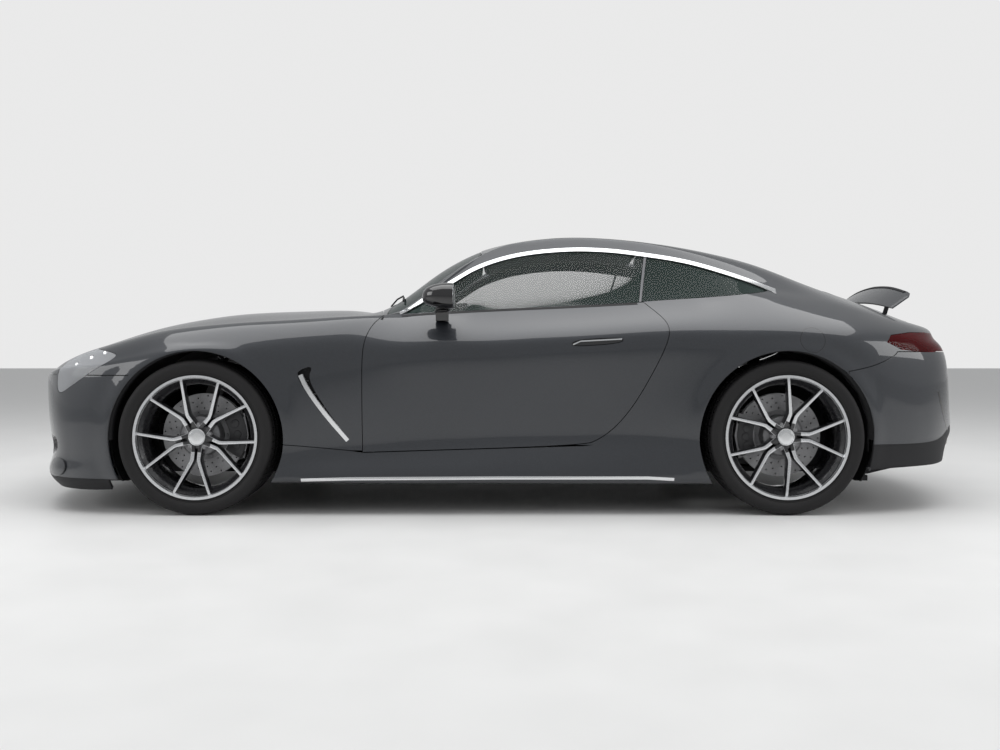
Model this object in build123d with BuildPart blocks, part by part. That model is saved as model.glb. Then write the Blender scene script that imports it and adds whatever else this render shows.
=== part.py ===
"""Two-door fastback coupe, built as separate panels, glass, cabin, axles and wheels.

Millimetres. +X points to the nose, +Y to the car's left, +Z up. The origin lies on the
ground, midway between nose and tail and on the centre plane.
"""

import os
from math import cos, hypot, radians, sin

from build123d import *

# ---- overall sizes ----
wheelbase = 2700.0
front_overhang = 980.0
rear_overhang = 1048.0
body_width = 1984.0
body_height = 1354.0

# ---- gaps and walls ----
panel_gap = 5.0
seat_gap = 0.3
skin_wall = 28.0
side_wall = 58.0
bumper_wall = 40.0
nose_wall = 34.0
nose_skin = 24.0
hood_wall = 22.0
hood_gap = 8.0
roof_wall = 34.0
tailgate_wall = 24.0
tailgate_gap = 9.0
tail_wall = 30.0
ledge_wall = 12.0
ledge_reach = 26.0
ledge_rest = 8.0
glass_thickness = 5.0
glass_sink = 8.0
glass_gap = 6.0

# ---- doors ----
door_skin = 30.0
door_card = 92.0
door_step = 34.0
door_rail_depth = 40.0
door_rail_width = 30.0
lip_width = 12.0
lip_wall = 27.0
lip_gap = 0.7

# ---- underside and wheel houses ----
floor_z = 135.0
floor_plate = 25.0
sill_bottom_z = 142.0
bumper_split_z = 640.0
tail_split_z = 742.0
arch_gap = 47.0
arch_drop = 6.0
liner_gap = 76.0
liner_wall = 5.0
liner_inner_y = 470.0
liner_outer_y = 870.0
liner_low_z = 142.0
sill_half = 800.0
crossmember_height = 99.0
jack_radius = 30.0
jack_drop = 12.0
jack_reach = 560.0

# ---- wheels and brakes ----
front_track = 1684.0
rear_track = 1682.0
tyre_radius = 355.0
tyre_width = 290.0
rim_seat_radius = 267.0
rim_flange_radius = 284.0
rim_width = 270.0
rim_wall = 12.0
bead_step = 12.0
spoke_pairs = 5
spoke_spread = 19.0
spoke_width = 15.0
spoke_depth = 34.0
spoke_set_in = 14.0
hub_radius = 62.0
hub_boss = 60.0
cap_radius = 40.0
cap_height = 6.0
lug_circle = 112.0
lug_hole_radius = 7.5
disc_radius = 195.0
disc_thickness = 36.0
disc_hat_radius = 92.0
disc_hat_wall = 10.0
disc_set_in = 28.0
caliper_reach = 222.0
caliper_depth = 70.0
caliper_half = 105.0
caliper_cheek = 38.0
caliper_gap = 6.0
knuckle_half = 150.0
knuckle_width = 38.0
knuckle_inset = 22.0
stub_radius = 24.0
kingpin_offset = 70.0
pivot_radius = 18.0

# ---- rear wing: a blade on two posts that slide out of the tailgate ----
wing_set_back = 678.0
wing_chord = 144.5
wing_half = 455.0
wing_sweep = 24.0
wing_end_chord = 96.0
wing_corner = (101.0, 420.0)
wing_thickness = 18.0
wing_set_in = 1.0
wing_recess = 26.0
wing_recess_gap = 8.5
wing_tilt = 56.0
wing_rise = 78.5
wing_lean = 25.0
wing_arm_y = 330.0
pin_back = 16.5
pin_drop = 39.0
pin_radius = 5.0
post_half = 9.0
eye_radius = 10.0
post_width = 16.0
post_length = 150.0
ear_width = 8.0
ear_gap = 1.0
tie_radius = 6.0
pocket_depth = 50.0
pocket_wall = 12.0

# ---- cabin ----
seat_set = 1010.0
seat_y = 370.0
seat_half = 250.0
seat_back_half = 235.0
dash_half = 640.0
console_half = 112.0
tunnel_half = 120.0
tunnel_height = 200.0
steering_reach = 1190.0
steering_z = 800.0
steering_tilt = 24.0
steering_boss = 60.0
steering_radius = 178.0
steering_grip = 15.0
spoke_plate = 18.0
column_radius = 34.0

# ---- places that follow from the sizes above ----
length = front_overhang + wheelbase + rear_overhang
nose_x = length / 2
tail_x = -length / 2
front_axle_x = nose_x - front_overhang
rear_axle_x = front_axle_x - wheelbase
axle_x = {"front": front_axle_x, "rear": rear_axle_x}
half_width = body_width / 2
axle_z = tyre_radius
arch_radius = tyre_radius + arch_gap
house_radius = tyre_radius + liner_gap
floor_top_z = floor_z + floor_plate
# well outside the car on every side, for cuts that run right through
far = 3000.0

# The skin's sections. Each row: the axle it is measured from, how far ahead of that axle,
# height on the centre plane, then y and z of seven lines that run the length of the car:
# edge (hood, screen and roof), rail (crown of the wing, top of the side glass), belt,
# shoulder, waist, flank and sill. Drawn 992 to each side and 1354 high.
drawn_half_width = 992.0
drawn_height = 1354.0
LINES = ("edge", "rail", "belt", "shoulder", "waist", "flank", "sill")
SECTIONS = (
    ("front", 866, 686, 400, 668, 460, 662, 520, 655, 560, 650, 590, 640, 604, 400, 596, 259),
    ("front", 666, 778, 590, 738, 680, 725, 760, 705, 820, 675, 850, 640, 864, 400, 856, 259),
    ("front", 416, 872, 700, 795, 775, 793, 860, 768, 925, 705, 955, 640, 962, 400, 955, 259),
    ("front", 0, 948, 765, 858, 830, 868, 905, 845, 970, 775, 992, 690, 992, 400, 985, 259),
    ("front", -384, 965, 775, 893, 830, 893, 895, 868, 955, 775, 980, 640, 978, 400, 970, 259),
    ("front", -764, 968, 770, 912, 815, 912, 865, 897, 945, 792, 960, 620, 945, 400, 940, 282),
    ("front", -924, 1071, 715, 950, 755, 932, 800, 922, 945, 795, 958, 620, 938, 400, 938, 287),
    ("front", -1084, 1188, 655, 1080, 700, 1037, 798, 930, 946, 798, 956, 620, 932, 400, 936, 292),
    ("rear", 1316, 1314, 565, 1262, 630, 1212, 795, 948, 950, 804, 955, 620, 928, 400, 935, 302),
    ("rear", 966, 1354, 540, 1312, 600, 1258, 790, 965, 958, 822, 955, 620, 928, 400, 935, 313),
    ("rear", 566, 1330, 525, 1290, 595, 1231, 795, 985, 965, 845, 968, 640, 955, 420, 950, 325),
    ("rear", 216, 1270, 525, 1221, 625, 1146, 790, 1010, 965, 860, 988, 690, 985, 420, 975, 325),
    ("rear", 0, 1219, 530, 1160, 665, 1075, 790, 1000, 955, 868, 992, 720, 990, 420, 980, 325),
    ("rear", -384, 1084, 550, 1014, 700, 978, 800, 925, 925, 835, 970, 700, 960, 420, 940, 325),
    ("rear", -684, 981, 530, 909, 650, 888, 745, 857, 815, 802, 848, 700, 852, 420, 838, 325),
    ("rear", -829, 922, 440, 870, 520, 862, 580, 842, 605, 802, 642, 700, 646, 420, 632, 325),
    ("rear", -934, 868, 285, 856, 303, 848, 320, 840, 350, 802, 400, 700, 404, 420, 396, 325),
)


def wide(y):
    """A drawn distance from the centre plane, at the car's own width."""
    return y * half_width / drawn_half_width


def high(z):
    """A drawn height, at the car's own height."""
    return z * body_height / drawn_height


# The same sections as x, centre height and seven (y, z) points, from nose to tail.
STATIONS = [
    (axle_x[row[0]] + row[1], high(row[2]), [(wide(row[k]), high(row[k + 1])) for k in range(3, 17, 2)])
    for row in SECTIONS
]


def section_at(x):
    """Centre height and the seven line points at x, between the two nearest sections."""
    for (xa, za, pa), (xb, zb, pb) in zip(STATIONS, STATIONS[1:]):
        if xb <= x <= xa:
            t = (xa - x) / (xa - xb)
            points = [(a[0] + (b[0] - a[0]) * t, a[1] + (b[1] - a[1]) * t) for a, b in zip(pa, pb)]
            return za + (zb - za) * t, points
    raise ValueError(f"x {x} lies outside the sections")


def line_at(x, name):
    """The (y, z) of one named line at x."""
    return section_at(x)[1][LINES.index(name)]


def crown_z(x, y):
    """Height of the crowned top surface at x and y, as the arc through both edges and centre."""
    centre_z, points = section_at(x)
    edge_y, edge_z = points[0]
    rise = centre_z - edge_z
    radius = (edge_y**2 + rise**2) / (2 * rise)
    return centre_z - radius + (radius**2 - y**2) ** 0.5


def belt_z(x):
    """Height of the belt, where glass and door meet, at x."""
    return line_at(x, "belt")[1]


# ---- outlines shared by neighbouring panels ----
hood_front_x = front_axle_x + 830.0
hood_lead = 790.0
hood_trail = -755.0
hood_side = 900.0
nose_seam_x = front_axle_x + 797.0
nose_tip_x = front_axle_x + 862.0
nose_half = 395.0
cowl_x = front_axle_x - 860.0
screen_base_x = front_axle_x - 700.0
screen_lead = -1500.0
screen_trail = -770.0
screen_top_x = rear_axle_x + 1412.0
hatch_top_x = rear_axle_x + 520.0
hatch_end_x = rear_axle_x - 860.0
tail_half = wide(322.0)
door_front_x = front_axle_x - 759.0
door_low_z = 286.0
door_axis_x = front_axle_x - 784.0
door_skin_front_x = front_axle_x - 700.0
door_skin_back_x = rear_axle_x + 480.0

# side-view outline of the door skin: belt end, down the front edge, along the sill, up the back
DOOR_OUTLINE = (
    (front_axle_x - 850, 921),
    (front_axle_x - 792, 870),
    (front_axle_x - 768, 800),
    (door_front_x, 707),
    (door_front_x, door_low_z),
    (rear_axle_x + 930, 316),
    (rear_axle_x + 848, 348),
    (rear_axle_x + 770, 411),
    (rear_axle_x + 685, 522),
    (rear_axle_x + 592, 694),
    (rear_axle_x + 546, 800),
    (rear_axle_x + 540, 860),
    (rear_axle_x + 568, 916),
    (rear_axle_x + 632, 979),
    (rear_axle_x + 1316, 948),
)
# side-view outline of the side glass opening, from the mirror corner over the roof to the tip
GLASS_TOP = (
    (front_axle_x - 915, 926),
    (front_axle_x - 1040, 1006),
    (front_axle_x - 1163, 1088),
    (rear_axle_x + 1410, 1166),
    (rear_axle_x + 1212, 1226),
    (rear_axle_x + 966, 1248),
    (rear_axle_x + 769, 1242),
    (rear_axle_x + 640, 1229),
)
QUARTER_TOP = (
    (rear_axle_x + 540, 1218),
    (rear_axle_x + 325, 1172),
    (rear_axle_x + 128, 1104),
    (rear_axle_x + 10, 1052),
)
glass_split_top_x = rear_axle_x + 596.0
glass_split_low_x = rear_axle_x + 653.0
glass_split_gap = 24.0
# side-view outlines measured ahead of an axle: (ahead, height)
LAMP_FRONT = (
    (668, 760), (560, 765), (400, 742), (376, 722), (480, 660), (600, 585), (680, 545), (700, 600), (690, 680),
)
LAMP_REAR = ((-470, 790), (-500, 822), (-620, 836), (-1000, 836), (-1000, 752), (-640, 752), (-540, 758))
VENT = (
    (-460, 640), (-476, 664), (-535, 682), (-512, 626), (-566, 524),
    (-702, 328), (-658, 356), (-588, 456), (-498, 571),
)
# front-view outlines: (y, height)
GRILLE = ((330, 598), (470, 540), (500, 300), (440, 250))
INTAKE = ((600, 345), (770, 362), (745, 262), (600, 255))
DIFFUSER = ((640, 190), (700, 300), (560, 372), (300, 372))


def scaled(points):
    """Side-view points with their drawn heights at the car's own height."""
    return [(x, high(z)) for x, z in points]


def ahead_of(axle, points):
    """Side-view points measured ahead of an axle, as x and height."""
    return [(axle_x[axle] + x, high(z)) for x, z in points]


def across(points):
    """A left-hand front-view outline and its mirror image, as one outline across the car."""
    left = [(wide(y), high(z)) for y, z in points]
    return left + [(-y, z) for y, z in reversed(left)]


def box_outline(low, high_end):
    """The four corners of a rectangle between two opposite corners."""
    return [low, (high_end[0], low[1]), high_end, (low[0], high_end[1])]


def grown(points, step):
    """An outline moved outwards by step, by its own corner normals."""
    count = len(points)
    area = sum(points[k - 1][0] * points[k][1] - points[k][0] * points[k - 1][1] for k in range(count))
    turn = 1 if area > 0 else -1
    out = []
    for k in range(count):
        (xa, za), (x, z), (xb, zb) = points[k - 1], points[k], points[(k + 1) % count]
        la, lb = hypot(x - xa, z - za), hypot(xb - x, zb - z)
        na = (turn * (z - za) / la, -turn * (x - xa) / la)
        nb = (turn * (zb - z) / lb, -turn * (xb - x) / lb)
        share = 1 + na[0] * nb[0] + na[1] * nb[1]
        out.append((x + step * (na[0] + nb[0]) / share, z + step * (na[1] + nb[1]) / share))
    return out


door_outline = scaled(DOOR_OUTLINE)
door_glass_outline = scaled(GLASS_TOP) + [
    (glass_split_top_x, high(1225)),
    (glass_split_low_x, belt_z(glass_split_low_x)),
    (rear_axle_x + 966, belt_z(rear_axle_x + 966)),
    (rear_axle_x + 1316, belt_z(rear_axle_x + 1316)),
    (front_axle_x - 1084, belt_z(front_axle_x - 1084)),
]
quarter_outline = scaled(QUARTER_TOP) + [
    (rear_axle_x + 60, high(1040)),
    (rear_axle_x + 216, high(1018)),
    (rear_axle_x + 566, high(992)),
    (glass_split_low_x - glass_split_gap, high(988)),
    (glass_split_top_x - glass_split_gap, high(1216)),
]
headlamp_outline = ahead_of("front", LAMP_FRONT)
tail_lamp_outline = ahead_of("rear", LAMP_REAR)
vent_outline = ahead_of("front", VENT)
bumper_outline = box_outline((front_axle_x + 300, 0), (far, bumper_split_z))
grille_opening = across(GRILLE)
diffuser_opening = across(DIFFUSER)
tail_area = [
    (rear_axle_x - 275, 0),
    (rear_axle_x - 275, high(655)),
    (rear_axle_x - 390, high(676)),
    (rear_axle_x - 500, high(722)),
    (rear_axle_x - 520, tail_split_z + 2),
    (tail_x - 50, tail_split_z + 2),
    (tail_x - 50, 0),
]

# ---- bumpers: plan outlines of lines and arcs, lofted up through a few heights ----
# columns: height, reach of the centre ahead of the axle, half width at the arch
FRONT_LEVELS = (
    (105, 906, 925), (165, 972, 958), (240, 941, 965), (400, 966, 975), (560, 980, 975), (640, 926, 955),
)
REAR_LEVELS = (
    (214, 930, 938), (283, 1036, 940), (400, 1048, 955), (500, 1044, 965), (640, 1036, 965), (742, 992, 940),
)
LAMP_LEVELS = ((742, 992, 940), (842, 950, 850), (872, 905, 820), (896, 868, 800))
NOSE_LEVELS = ((640, 926, 955), (668, 890, 920), (690, 850, 880))
# plan points measured back from the reach: (back, y) of the corner's start, middle and end
FRONT_CORNER = ((504, 950), (284, 830), (136, 620))
REAR_CORNER = ((504, 940), (274, 800), (125, 600))
bumper_start = 305.0
# how much the corner's start draws in, and its middle's share of a wall's inset
corner_draw = 0.985
middle_share = 0.3
lamp_wall = 50.0
headlamp_wall = 40.0
headlamp_inner_y = 330.0

# ---- wing places ----
wing_front_x = rear_axle_x - wing_set_back
wing_tip_x = wing_front_x + wing_sweep
wing_back_x = wing_front_x - wing_chord
pin_x = wing_front_x - pin_back
pin_z = crown_z(wing_front_x, wing_arm_y) - wing_set_in - pin_drop
wing_travel = hypot(wing_rise, wing_lean)
slide_axis = (-wing_lean / wing_travel, 0.0, wing_rise / wing_travel)
rear_window_front_x = hatch_top_x - 60.0
rear_window_back_x = rear_axle_x - 382.0

# ---- steering places ----
column_tilt = radians(steering_tilt)
wheel_hub = (front_axle_x - steering_reach, seat_y, high(steering_z))


# ---- shapes that the pieces share ----
def stops(front_x, back_x):
    """The x of each section that a loft from front_x to back_x needs."""
    return [front_x] + [s[0] for s in STATIONS if back_x + 1 < s[0] < front_x - 1] + [back_x]


def inner_points(points, wall):
    """The points set in by wall: straight down at the first, inwards at the last."""
    steepest = 0.55
    inner = []
    for k, (y, z) in enumerate(points):
        if k == len(points) - 1:
            inner.append((y - wall, z))
            continue
        ya, za = points[max(k - 1, 0)]
        yb, zb = points[k + 1]
        run = hypot(yb - ya, zb - za)
        ny, nz = (zb - za) / run, -(yb - ya) / run
        if k == 0:
            inner.append((y, z - wall / max(-nz, steepest)))
        else:
            inner.append((y + ny * wall, z + nz * wall))
    return inner


def side_skin(front_x, back_x, first, last, wall, set_in=0.0, mode=Mode.ADD):
    """The left flank's skin between two named lines, as a closed solid wall."""
    a, b = LINES.index(first), LINES.index(last)
    sections = []
    for x in stops(front_x, back_x):
        points = section_at(x)[1][a : b + 1]
        outer = inner_points(points, set_in) if set_in else points
        inner = inner_points(points, set_in + wall)
        with BuildSketch(Plane.YZ.offset(x)) as section:
            with BuildLine():
                Polyline(*outer, *reversed(inner), close=True)
            make_face()
        sections.append(section.sketch)
    loft(sections, ruled=True, mode=mode)


def top_skin(front_x, back_x, wall, set_in=0.0, mode=Mode.ADD):
    """The crowned skin across the car between its two edge lines, as a closed wall."""
    sections = []
    for x in stops(front_x, back_x):
        centre_z, points = section_at(x)
        y, z = points[0]
        top, low = -set_in, -set_in - wall
        with BuildSketch(Plane.YZ.offset(x)) as section:
            with BuildLine():
                ThreePointArc((-y, z + top), (0, centre_z + top), (y, z + top))
                Line((y, z + top), (y, z + low))
                ThreePointArc((y, z + low), (0, centre_z + low), (-y, z + low))
                Line((-y, z + low), (-y, z + top))
            make_face()
        sections.append(section.sketch)
    loft(sections, ruled=True, mode=mode)


def prism(plane, points, amount, mode):
    """A prism with a polygon outline, raised from a plane."""
    with BuildSketch(plane) as outline:
        with BuildLine():
            Polyline(*points, close=True)
        make_face()
    extrude(outline.sketch, amount=amount, mode=mode)


def side_prism(points, low_y, high_y, mode=Mode.ADD):
    """A prism with a side-view outline, from low_y to high_y."""
    prism(Plane.XZ.offset(-low_y), points, low_y - high_y, mode)


def plan_prism(points, low_z, high_z, mode=Mode.ADD):
    """A prism with a plan-view outline, from low_z to high_z."""
    prism(Plane.XY.offset(low_z), points, high_z - low_z, mode)


def front_prism(points, low_x, high_x, mode=Mode.ADD):
    """A prism with a front-view outline of (y, z) points, from low_x to high_x."""
    prism(Plane.YZ.offset(low_x), points, high_x - low_x, mode)


def block(xs, ys, zs, mode=Mode.ADD):
    """A box between two x, two y and two z."""
    with Locations([(sum(xs) / 2, sum(ys) / 2, sum(zs) / 2)]):
        Box(abs(xs[1] - xs[0]), abs(ys[1] - ys[0]), abs(zs[1] - zs[0]), mode=mode)


def rod(start, end, radius, mode=Mode.ADD):
    """A round bar between two points."""
    run = Vector(*end) - Vector(*start)
    with BuildSketch(Plane(origin=start, z_dir=run)) as section:
        Circle(radius)
    extrude(section.sketch, amount=run.length, mode=mode)


def wheel_cylinder(axle, radius, low_y, high_y, drop=0.0, mode=Mode.ADD):
    """A cylinder across the car on an axle's line."""
    with BuildSketch(Plane.XZ.offset(-low_y)) as section:
        with Locations((axle_x[axle], axle_z - drop)):
            Circle(radius)
    extrude(section.sketch, amount=low_y - high_y, mode=mode)


def keep_largest(piece):
    """Leaves only the largest solid of a piece, without the offcuts of its cuts."""
    add(piece.solids().sort_by(SortBy.VOLUME)[-1], mode=Mode.REPLACE)


def edge_gap(front_x, back_x, gap):
    """Cuts a thin upright strip along both edge lines, which opens the gap beside a top panel."""
    for side in (1, -1):
        sections = []
        for x in stops(front_x, back_x):
            y = line_at(x, "edge")[0]
            with BuildSketch(Plane.YZ.offset(x)) as section:
                with BuildLine():
                    Polyline(*box_outline((side * (y - gap), 400), (side * (y + 3), 1500)), close=True)
                make_face()
            sections.append(section.sketch)
        loft(sections, ruled=True, mode=Mode.SUBTRACT)


def ledge(front_x, back_x, drop):
    """The left ledge that a lid closes down on, below the edge line, drop under the skin."""
    sections = []
    for x in stops(front_x, back_x):
        y, z = line_at(x, "edge")
        inner_z = crown_z(x, y - ledge_reach) - drop
        top_z = z - drop
        with BuildSketch(Plane.YZ.offset(x)) as section:
            with BuildLine():
                Polyline(
                    (y - ledge_reach, inner_z),
                    (y, top_z),
                    (y + ledge_rest, top_z),
                    (y + ledge_rest, top_z - ledge_wall),
                    (y - ledge_reach, inner_z - ledge_wall),
                    close=True,
                )
            make_face()
        sections.append(section.sketch)
    loft(sections, ruled=True)


def curved_back(lead, trail, side):
    """Plan outline across the car that ends in a shallow curve at its back edge."""
    shoulder, corner, shoulder_y = 40, 90, 500
    left = [
        (front_axle_x + lead, wide(side)),
        (front_axle_x + trail - corner, wide(side)),
        (front_axle_x + trail - shoulder, wide(shoulder_y)),
    ]
    return left + [(front_axle_x + trail, 0)] + [(x, -y) for x, y in reversed(left)]


def corner_points(axle, sign, reach, half, corner, inset):
    """Start, corner arc's three points and centre of one bumper outline, moved in by inset."""
    (start_back, start_y), (middle_back, middle_y), (end_back, end_y) = corner
    x = axle_x[axle] + sign * (reach - inset)
    share = wide(half - inset) / start_y
    return (
        (axle_x[axle] + sign * bumper_start, wide(half - inset)),
        (x - sign * start_back, wide(half - inset) * corner_draw),
        (x - sign * (middle_back - inset * middle_share), middle_y * share),
        (x - sign * end_back, end_y * share),
        (x, 0),
    )


def bumper_shell(axle, sign, levels, corner, wall, mode=Mode.ADD):
    """A bumper wall that wraps from one wheel arch to the other."""
    sections = []
    for z, reach, half in levels:
        outer = corner_points(axle, sign, reach, half, corner, 0)
        inner = corner_points(axle, sign, reach, half, corner, wall)
        with BuildSketch(Plane.XY.offset(z)) as section:
            with BuildLine():
                for start, p1, p2, p3, tip in (outer, inner):
                    Line(start, p1)
                    ThreePointArc(p1, p2, p3)
                    ThreePointArc(p3, tip, (p3[0], -p3[1]))
                    ThreePointArc((p3[0], -p3[1]), (p2[0], -p2[1]), (p1[0], -p1[1]))
                    Line((p1[0], -p1[1]), (start[0], -start[1]))
                for side in (1, -1):
                    Line((outer[0][0], side * outer[0][1]), (inner[0][0], side * inner[0][1]))
            make_face()
        sections.append(section.sketch)
    loft(sections, ruled=True, mode=mode)


# ---- outer panels ----
def hood():
    """Hood between the two fenders, from the nose seam to the cowl."""
    with BuildPart() as hood:
        top_skin(hood_front_x, cowl_x, hood_wall)
        plan_prism(curved_back(hood_lead, hood_trail, hood_side), 0, far, Mode.INTERSECT)
        edge_gap(hood_front_x, cowl_x, hood_gap)
    hood.part.label = "hood"
    export_step(hood.part, "parts/hood.step")


def front_fenders():
    """Both fenders, each cut for its door, bumper, wheel, lamp and air vent."""
    ledge_front, ledge_back = 350, 640
    cowl_cut, above_cut, vent_depth = 90, 838, 10
    with BuildPart() as fenders:
        side_skin(hood_front_x, door_front_x - cowl_cut, "edge", "sill", skin_wall)
        side_prism(grown(door_outline, panel_gap), 0, far, Mode.SUBTRACT)
        plan_prism(box_outline((-far, 0), (door_front_x + panel_gap, far)), 0, high(700), Mode.SUBTRACT)
        plan_prism(box_outline((-far, 0), (front_axle_x - above_cut, far)), 0, far, Mode.SUBTRACT)
        side_prism(bumper_outline, 0, far, Mode.SUBTRACT)
        wheel_cylinder("front", arch_radius, 500, far, arch_drop, Mode.SUBTRACT)
        side_prism(grown(headlamp_outline, seat_gap), 0, far, Mode.SUBTRACT)
        vent_y = line_at(front_axle_x - 500, "waist")[0] - vent_depth
        side_prism(vent_outline, vent_y, far, Mode.SUBTRACT)
        ledge(front_axle_x + ledge_front, front_axle_x - ledge_back, hood_wall + seat_gap)
        keep_largest(fenders)
        mirror(about=Plane.XZ)
    fenders.part.label = "front_fenders"
    export_step(fenders.part, "parts/front_fenders.step")


def front_bumper():
    """Front bumper with the nose above it, open for the grille and two side intakes."""
    opening_x = front_axle_x + 500
    with BuildPart() as nose:
        bumper_shell("front", 1, NOSE_LEVELS, FRONT_CORNER, nose_wall)
        plan_prism(box_outline((nose_seam_x, -nose_half), (nose_x, nose_half)), 0, far, Mode.INTERSECT)
    with BuildPart() as bumper:
        bumper_shell("front", 1, FRONT_LEVELS, FRONT_CORNER, bumper_wall)
        wheel_cylinder("front", arch_radius, -far, far, arch_drop, Mode.SUBTRACT)
        add(nose.part)
        top_skin(nose_tip_x, nose_seam_x, nose_skin)
        front_prism(grille_opening, opening_x, far, Mode.SUBTRACT)
        for side in (1, -1):
            front_prism([(side * wide(y), high(z)) for y, z in INTAKE], opening_x, far, Mode.SUBTRACT)
        keep_largest(bumper)
    bumper.part.label = "front_bumper"
    export_step(bumper.part, "parts/front_bumper.step")


def level_reach(levels, z):
    """A bumper's reach at height z, between its two nearest levels."""
    for (za, ra, _), (zb, rb, _) in zip(levels, levels[1:]):
        if za <= z <= zb:
            return ra + (rb - ra) * (z - za) / (zb - za)
    raise ValueError(f"height {z} lies outside the levels")


def nose_back(y):
    """How far the nose has curved back at y, from its reach on the centre plane."""
    end_back, end_y = FRONT_CORNER[2]
    return end_back * (y / end_y) ** 2


def grille():
    """Upright bars that follow the nose's curve, held by a rail above, between and below."""
    bars, pitch, bar_width, sink, bar_depth = 7, 60.0, 8.0, 4.0, 34.0
    rail_half, rail_depth, rail_end = 9.0, 14.0, 500
    face = ((240, 941), (400, 966), (560, 980), (600, 958))
    rails = ((270, 925), (420, 948), (585, 945))
    with BuildPart() as grille:
        for k in range(-bars, bars + 1):
            y = wide(pitch * k)
            x = front_axle_x - nose_back(y)
            front = [(x + reach - (sink if k else 0), z) for z, reach in face]
            back = [(x + reach - bar_depth, z) for z, reach in reversed(face)]
            side_prism(front + back, y - bar_width / 2, y + bar_width / 2)
        for z, reach in rails:
            ys = [wide(rail_end * k / 5) for k in range(5, -6, -1)]
            front = [(front_axle_x + reach - nose_back(y), y) for y in ys]
            back = [(x - rail_depth, y) for x, y in reversed(front)]
            plan_prism(front + back, high(z) - rail_half, high(z) + rail_half)
        inside = grown(grille_opening, -seat_gap)
        front_prism(inside, front_axle_x + rail_end, far, Mode.INTERSECT)
    grille.part.label = "grille"
    export_step(grille.part, "parts/grille.step")


def radiator():
    """Flat radiator behind the grille, which stands on the floor."""
    x, half_depth, half, top = front_axle_x + 775, 23, 420, 580
    with BuildPart() as radiator:
        block((x - half_depth, x + half_depth), (-half, half), (floor_top_z + seat_gap, high(top)))
    radiator.part.label = "radiator"
    export_step(radiator.part, "parts/radiator.step")


def rear_bumper():
    """Rear bumper, open below for the diffuser."""
    with BuildPart() as bumper:
        bumper_shell("rear", -1, REAR_LEVELS, REAR_CORNER, bumper_wall)
        wheel_cylinder("rear", arch_radius, -far, far, arch_drop, Mode.SUBTRACT)
        side_prism(grown(tail_area, -panel_gap), -far, far, Mode.INTERSECT)
        front_prism(diffuser_opening, -far, rear_axle_x - 500, Mode.SUBTRACT)
        keep_largest(bumper)
    bumper.part.label = "rear_bumper"
    export_step(bumper.part, "parts/rear_bumper.step")


exhaust_z = 300.0
pipe_radius = 42.0
pipe_wall = 5.0
PIPE_YS = (-385, -270, 270, 385)


def diffuser():
    """Lower rear panel with upright fins, which rises to the tail round the tail pipes."""
    half, plate = 560, 20
    fins, fin_pitch, fin_width = 5, 75, 12
    front_x = rear_axle_x - 430 - seat_gap
    profile = [
        (front_x, floor_z),
        (rear_axle_x - 520, floor_z),
        (rear_axle_x - 900, high(225)),
        (rear_axle_x - 905, high(360)),
        (rear_axle_x - 880, high(360)),
        (rear_axle_x - 870, high(245)),
        (rear_axle_x - 500, floor_z + plate),
        (front_x, floor_z + plate),
    ]
    fin = [
        (rear_axle_x - 640, floor_z + plate + 10),
        (rear_axle_x - 930, high(215)),
        (rear_axle_x - 940, high(320)),
        (rear_axle_x - 880, high(330)),
    ]
    with BuildPart() as diffuser:
        side_prism(profile, -wide(half), wide(half))
        for k in range(fins):
            y = (k - (fins - 1) / 2) * fin_pitch
            side_prism(fin, y - fin_width / 2, y + fin_width / 2)
        for y in PIPE_YS:
            ends = [(x, wide(y), high(exhaust_z)) for x in (rear_axle_x - 700, tail_x - 50)]
            rod(*ends, pipe_radius + panel_gap, Mode.SUBTRACT)
        keep_largest(diffuser)
    diffuser.part.label = "diffuser"
    export_step(diffuser.part, "parts/diffuser.step")


def jamb():
    """The left door's sealing lip, just behind the overhang of the door's skin."""
    outer_step = lip_width + 2
    with BuildPart() as lip:
        side_skin(door_skin_front_x, door_skin_back_x, "belt", "sill", lip_wall, door_skin + lip_gap)
        plan_prism(box_outline((door_axis_x - lip_width, 0), (far, far)), 0, far, Mode.SUBTRACT)
        side_prism(grown(door_outline, outer_step), 0, far, Mode.INTERSECT)
        side_prism(grown(door_outline, lip_width - door_step), 0, far, Mode.SUBTRACT)
        side_prism([(x, z - door_step) for x, z in door_outline], 0, far, Mode.SUBTRACT)
    return lip.part


def body_sides():
    """Quarter panels with the roof rails and screen pillars, round the door and its glass."""
    lip = jamb()
    tail_cut_x = rear_axle_x - 700
    sill_cut = [
        (front_axle_x, 0),
        (front_axle_x, high(330)),
        (rear_axle_x + 900, high(330)),
        (rear_axle_x + 860, 0),
    ]
    with BuildPart() as sides:
        side_skin(front_axle_x - 850, hatch_end_x - 35, "edge", "sill", side_wall)
        plan_prism(box_outline((-far, 0), (tail_cut_x, tail_half + tailgate_gap)), 0, far, Mode.SUBTRACT)
        side_prism(grown(door_outline, panel_gap), 0, far, Mode.SUBTRACT)
        side_prism(grown(door_glass_outline, glass_gap), 0, far, Mode.SUBTRACT)
        side_prism(quarter_outline, 0, far, Mode.SUBTRACT)
        side_prism(grown(door_outline, lip_width), 0, wide(880) - door_skin, Mode.SUBTRACT)
        side_prism(sill_cut, 0, far, Mode.SUBTRACT)
        wheel_cylinder("rear", arch_radius, 500, far, arch_drop, Mode.SUBTRACT)
        wheel_cylinder("rear", house_radius + 4, 0, wide(954), mode=Mode.SUBTRACT)
        side_prism(tail_area, 0, far, Mode.SUBTRACT)
        side_prism(grown(tail_lamp_outline, seat_gap), 0, far, Mode.SUBTRACT)
        ledge(hatch_top_x - 120, rear_axle_x - 370, tailgate_wall + seat_gap)
        add(lip)
        keep_largest(sides)
        mirror(about=Plane.XZ)
    sides.part.label = "body_sides"
    export_step(sides.part, "parts/body_sides.step")


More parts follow.
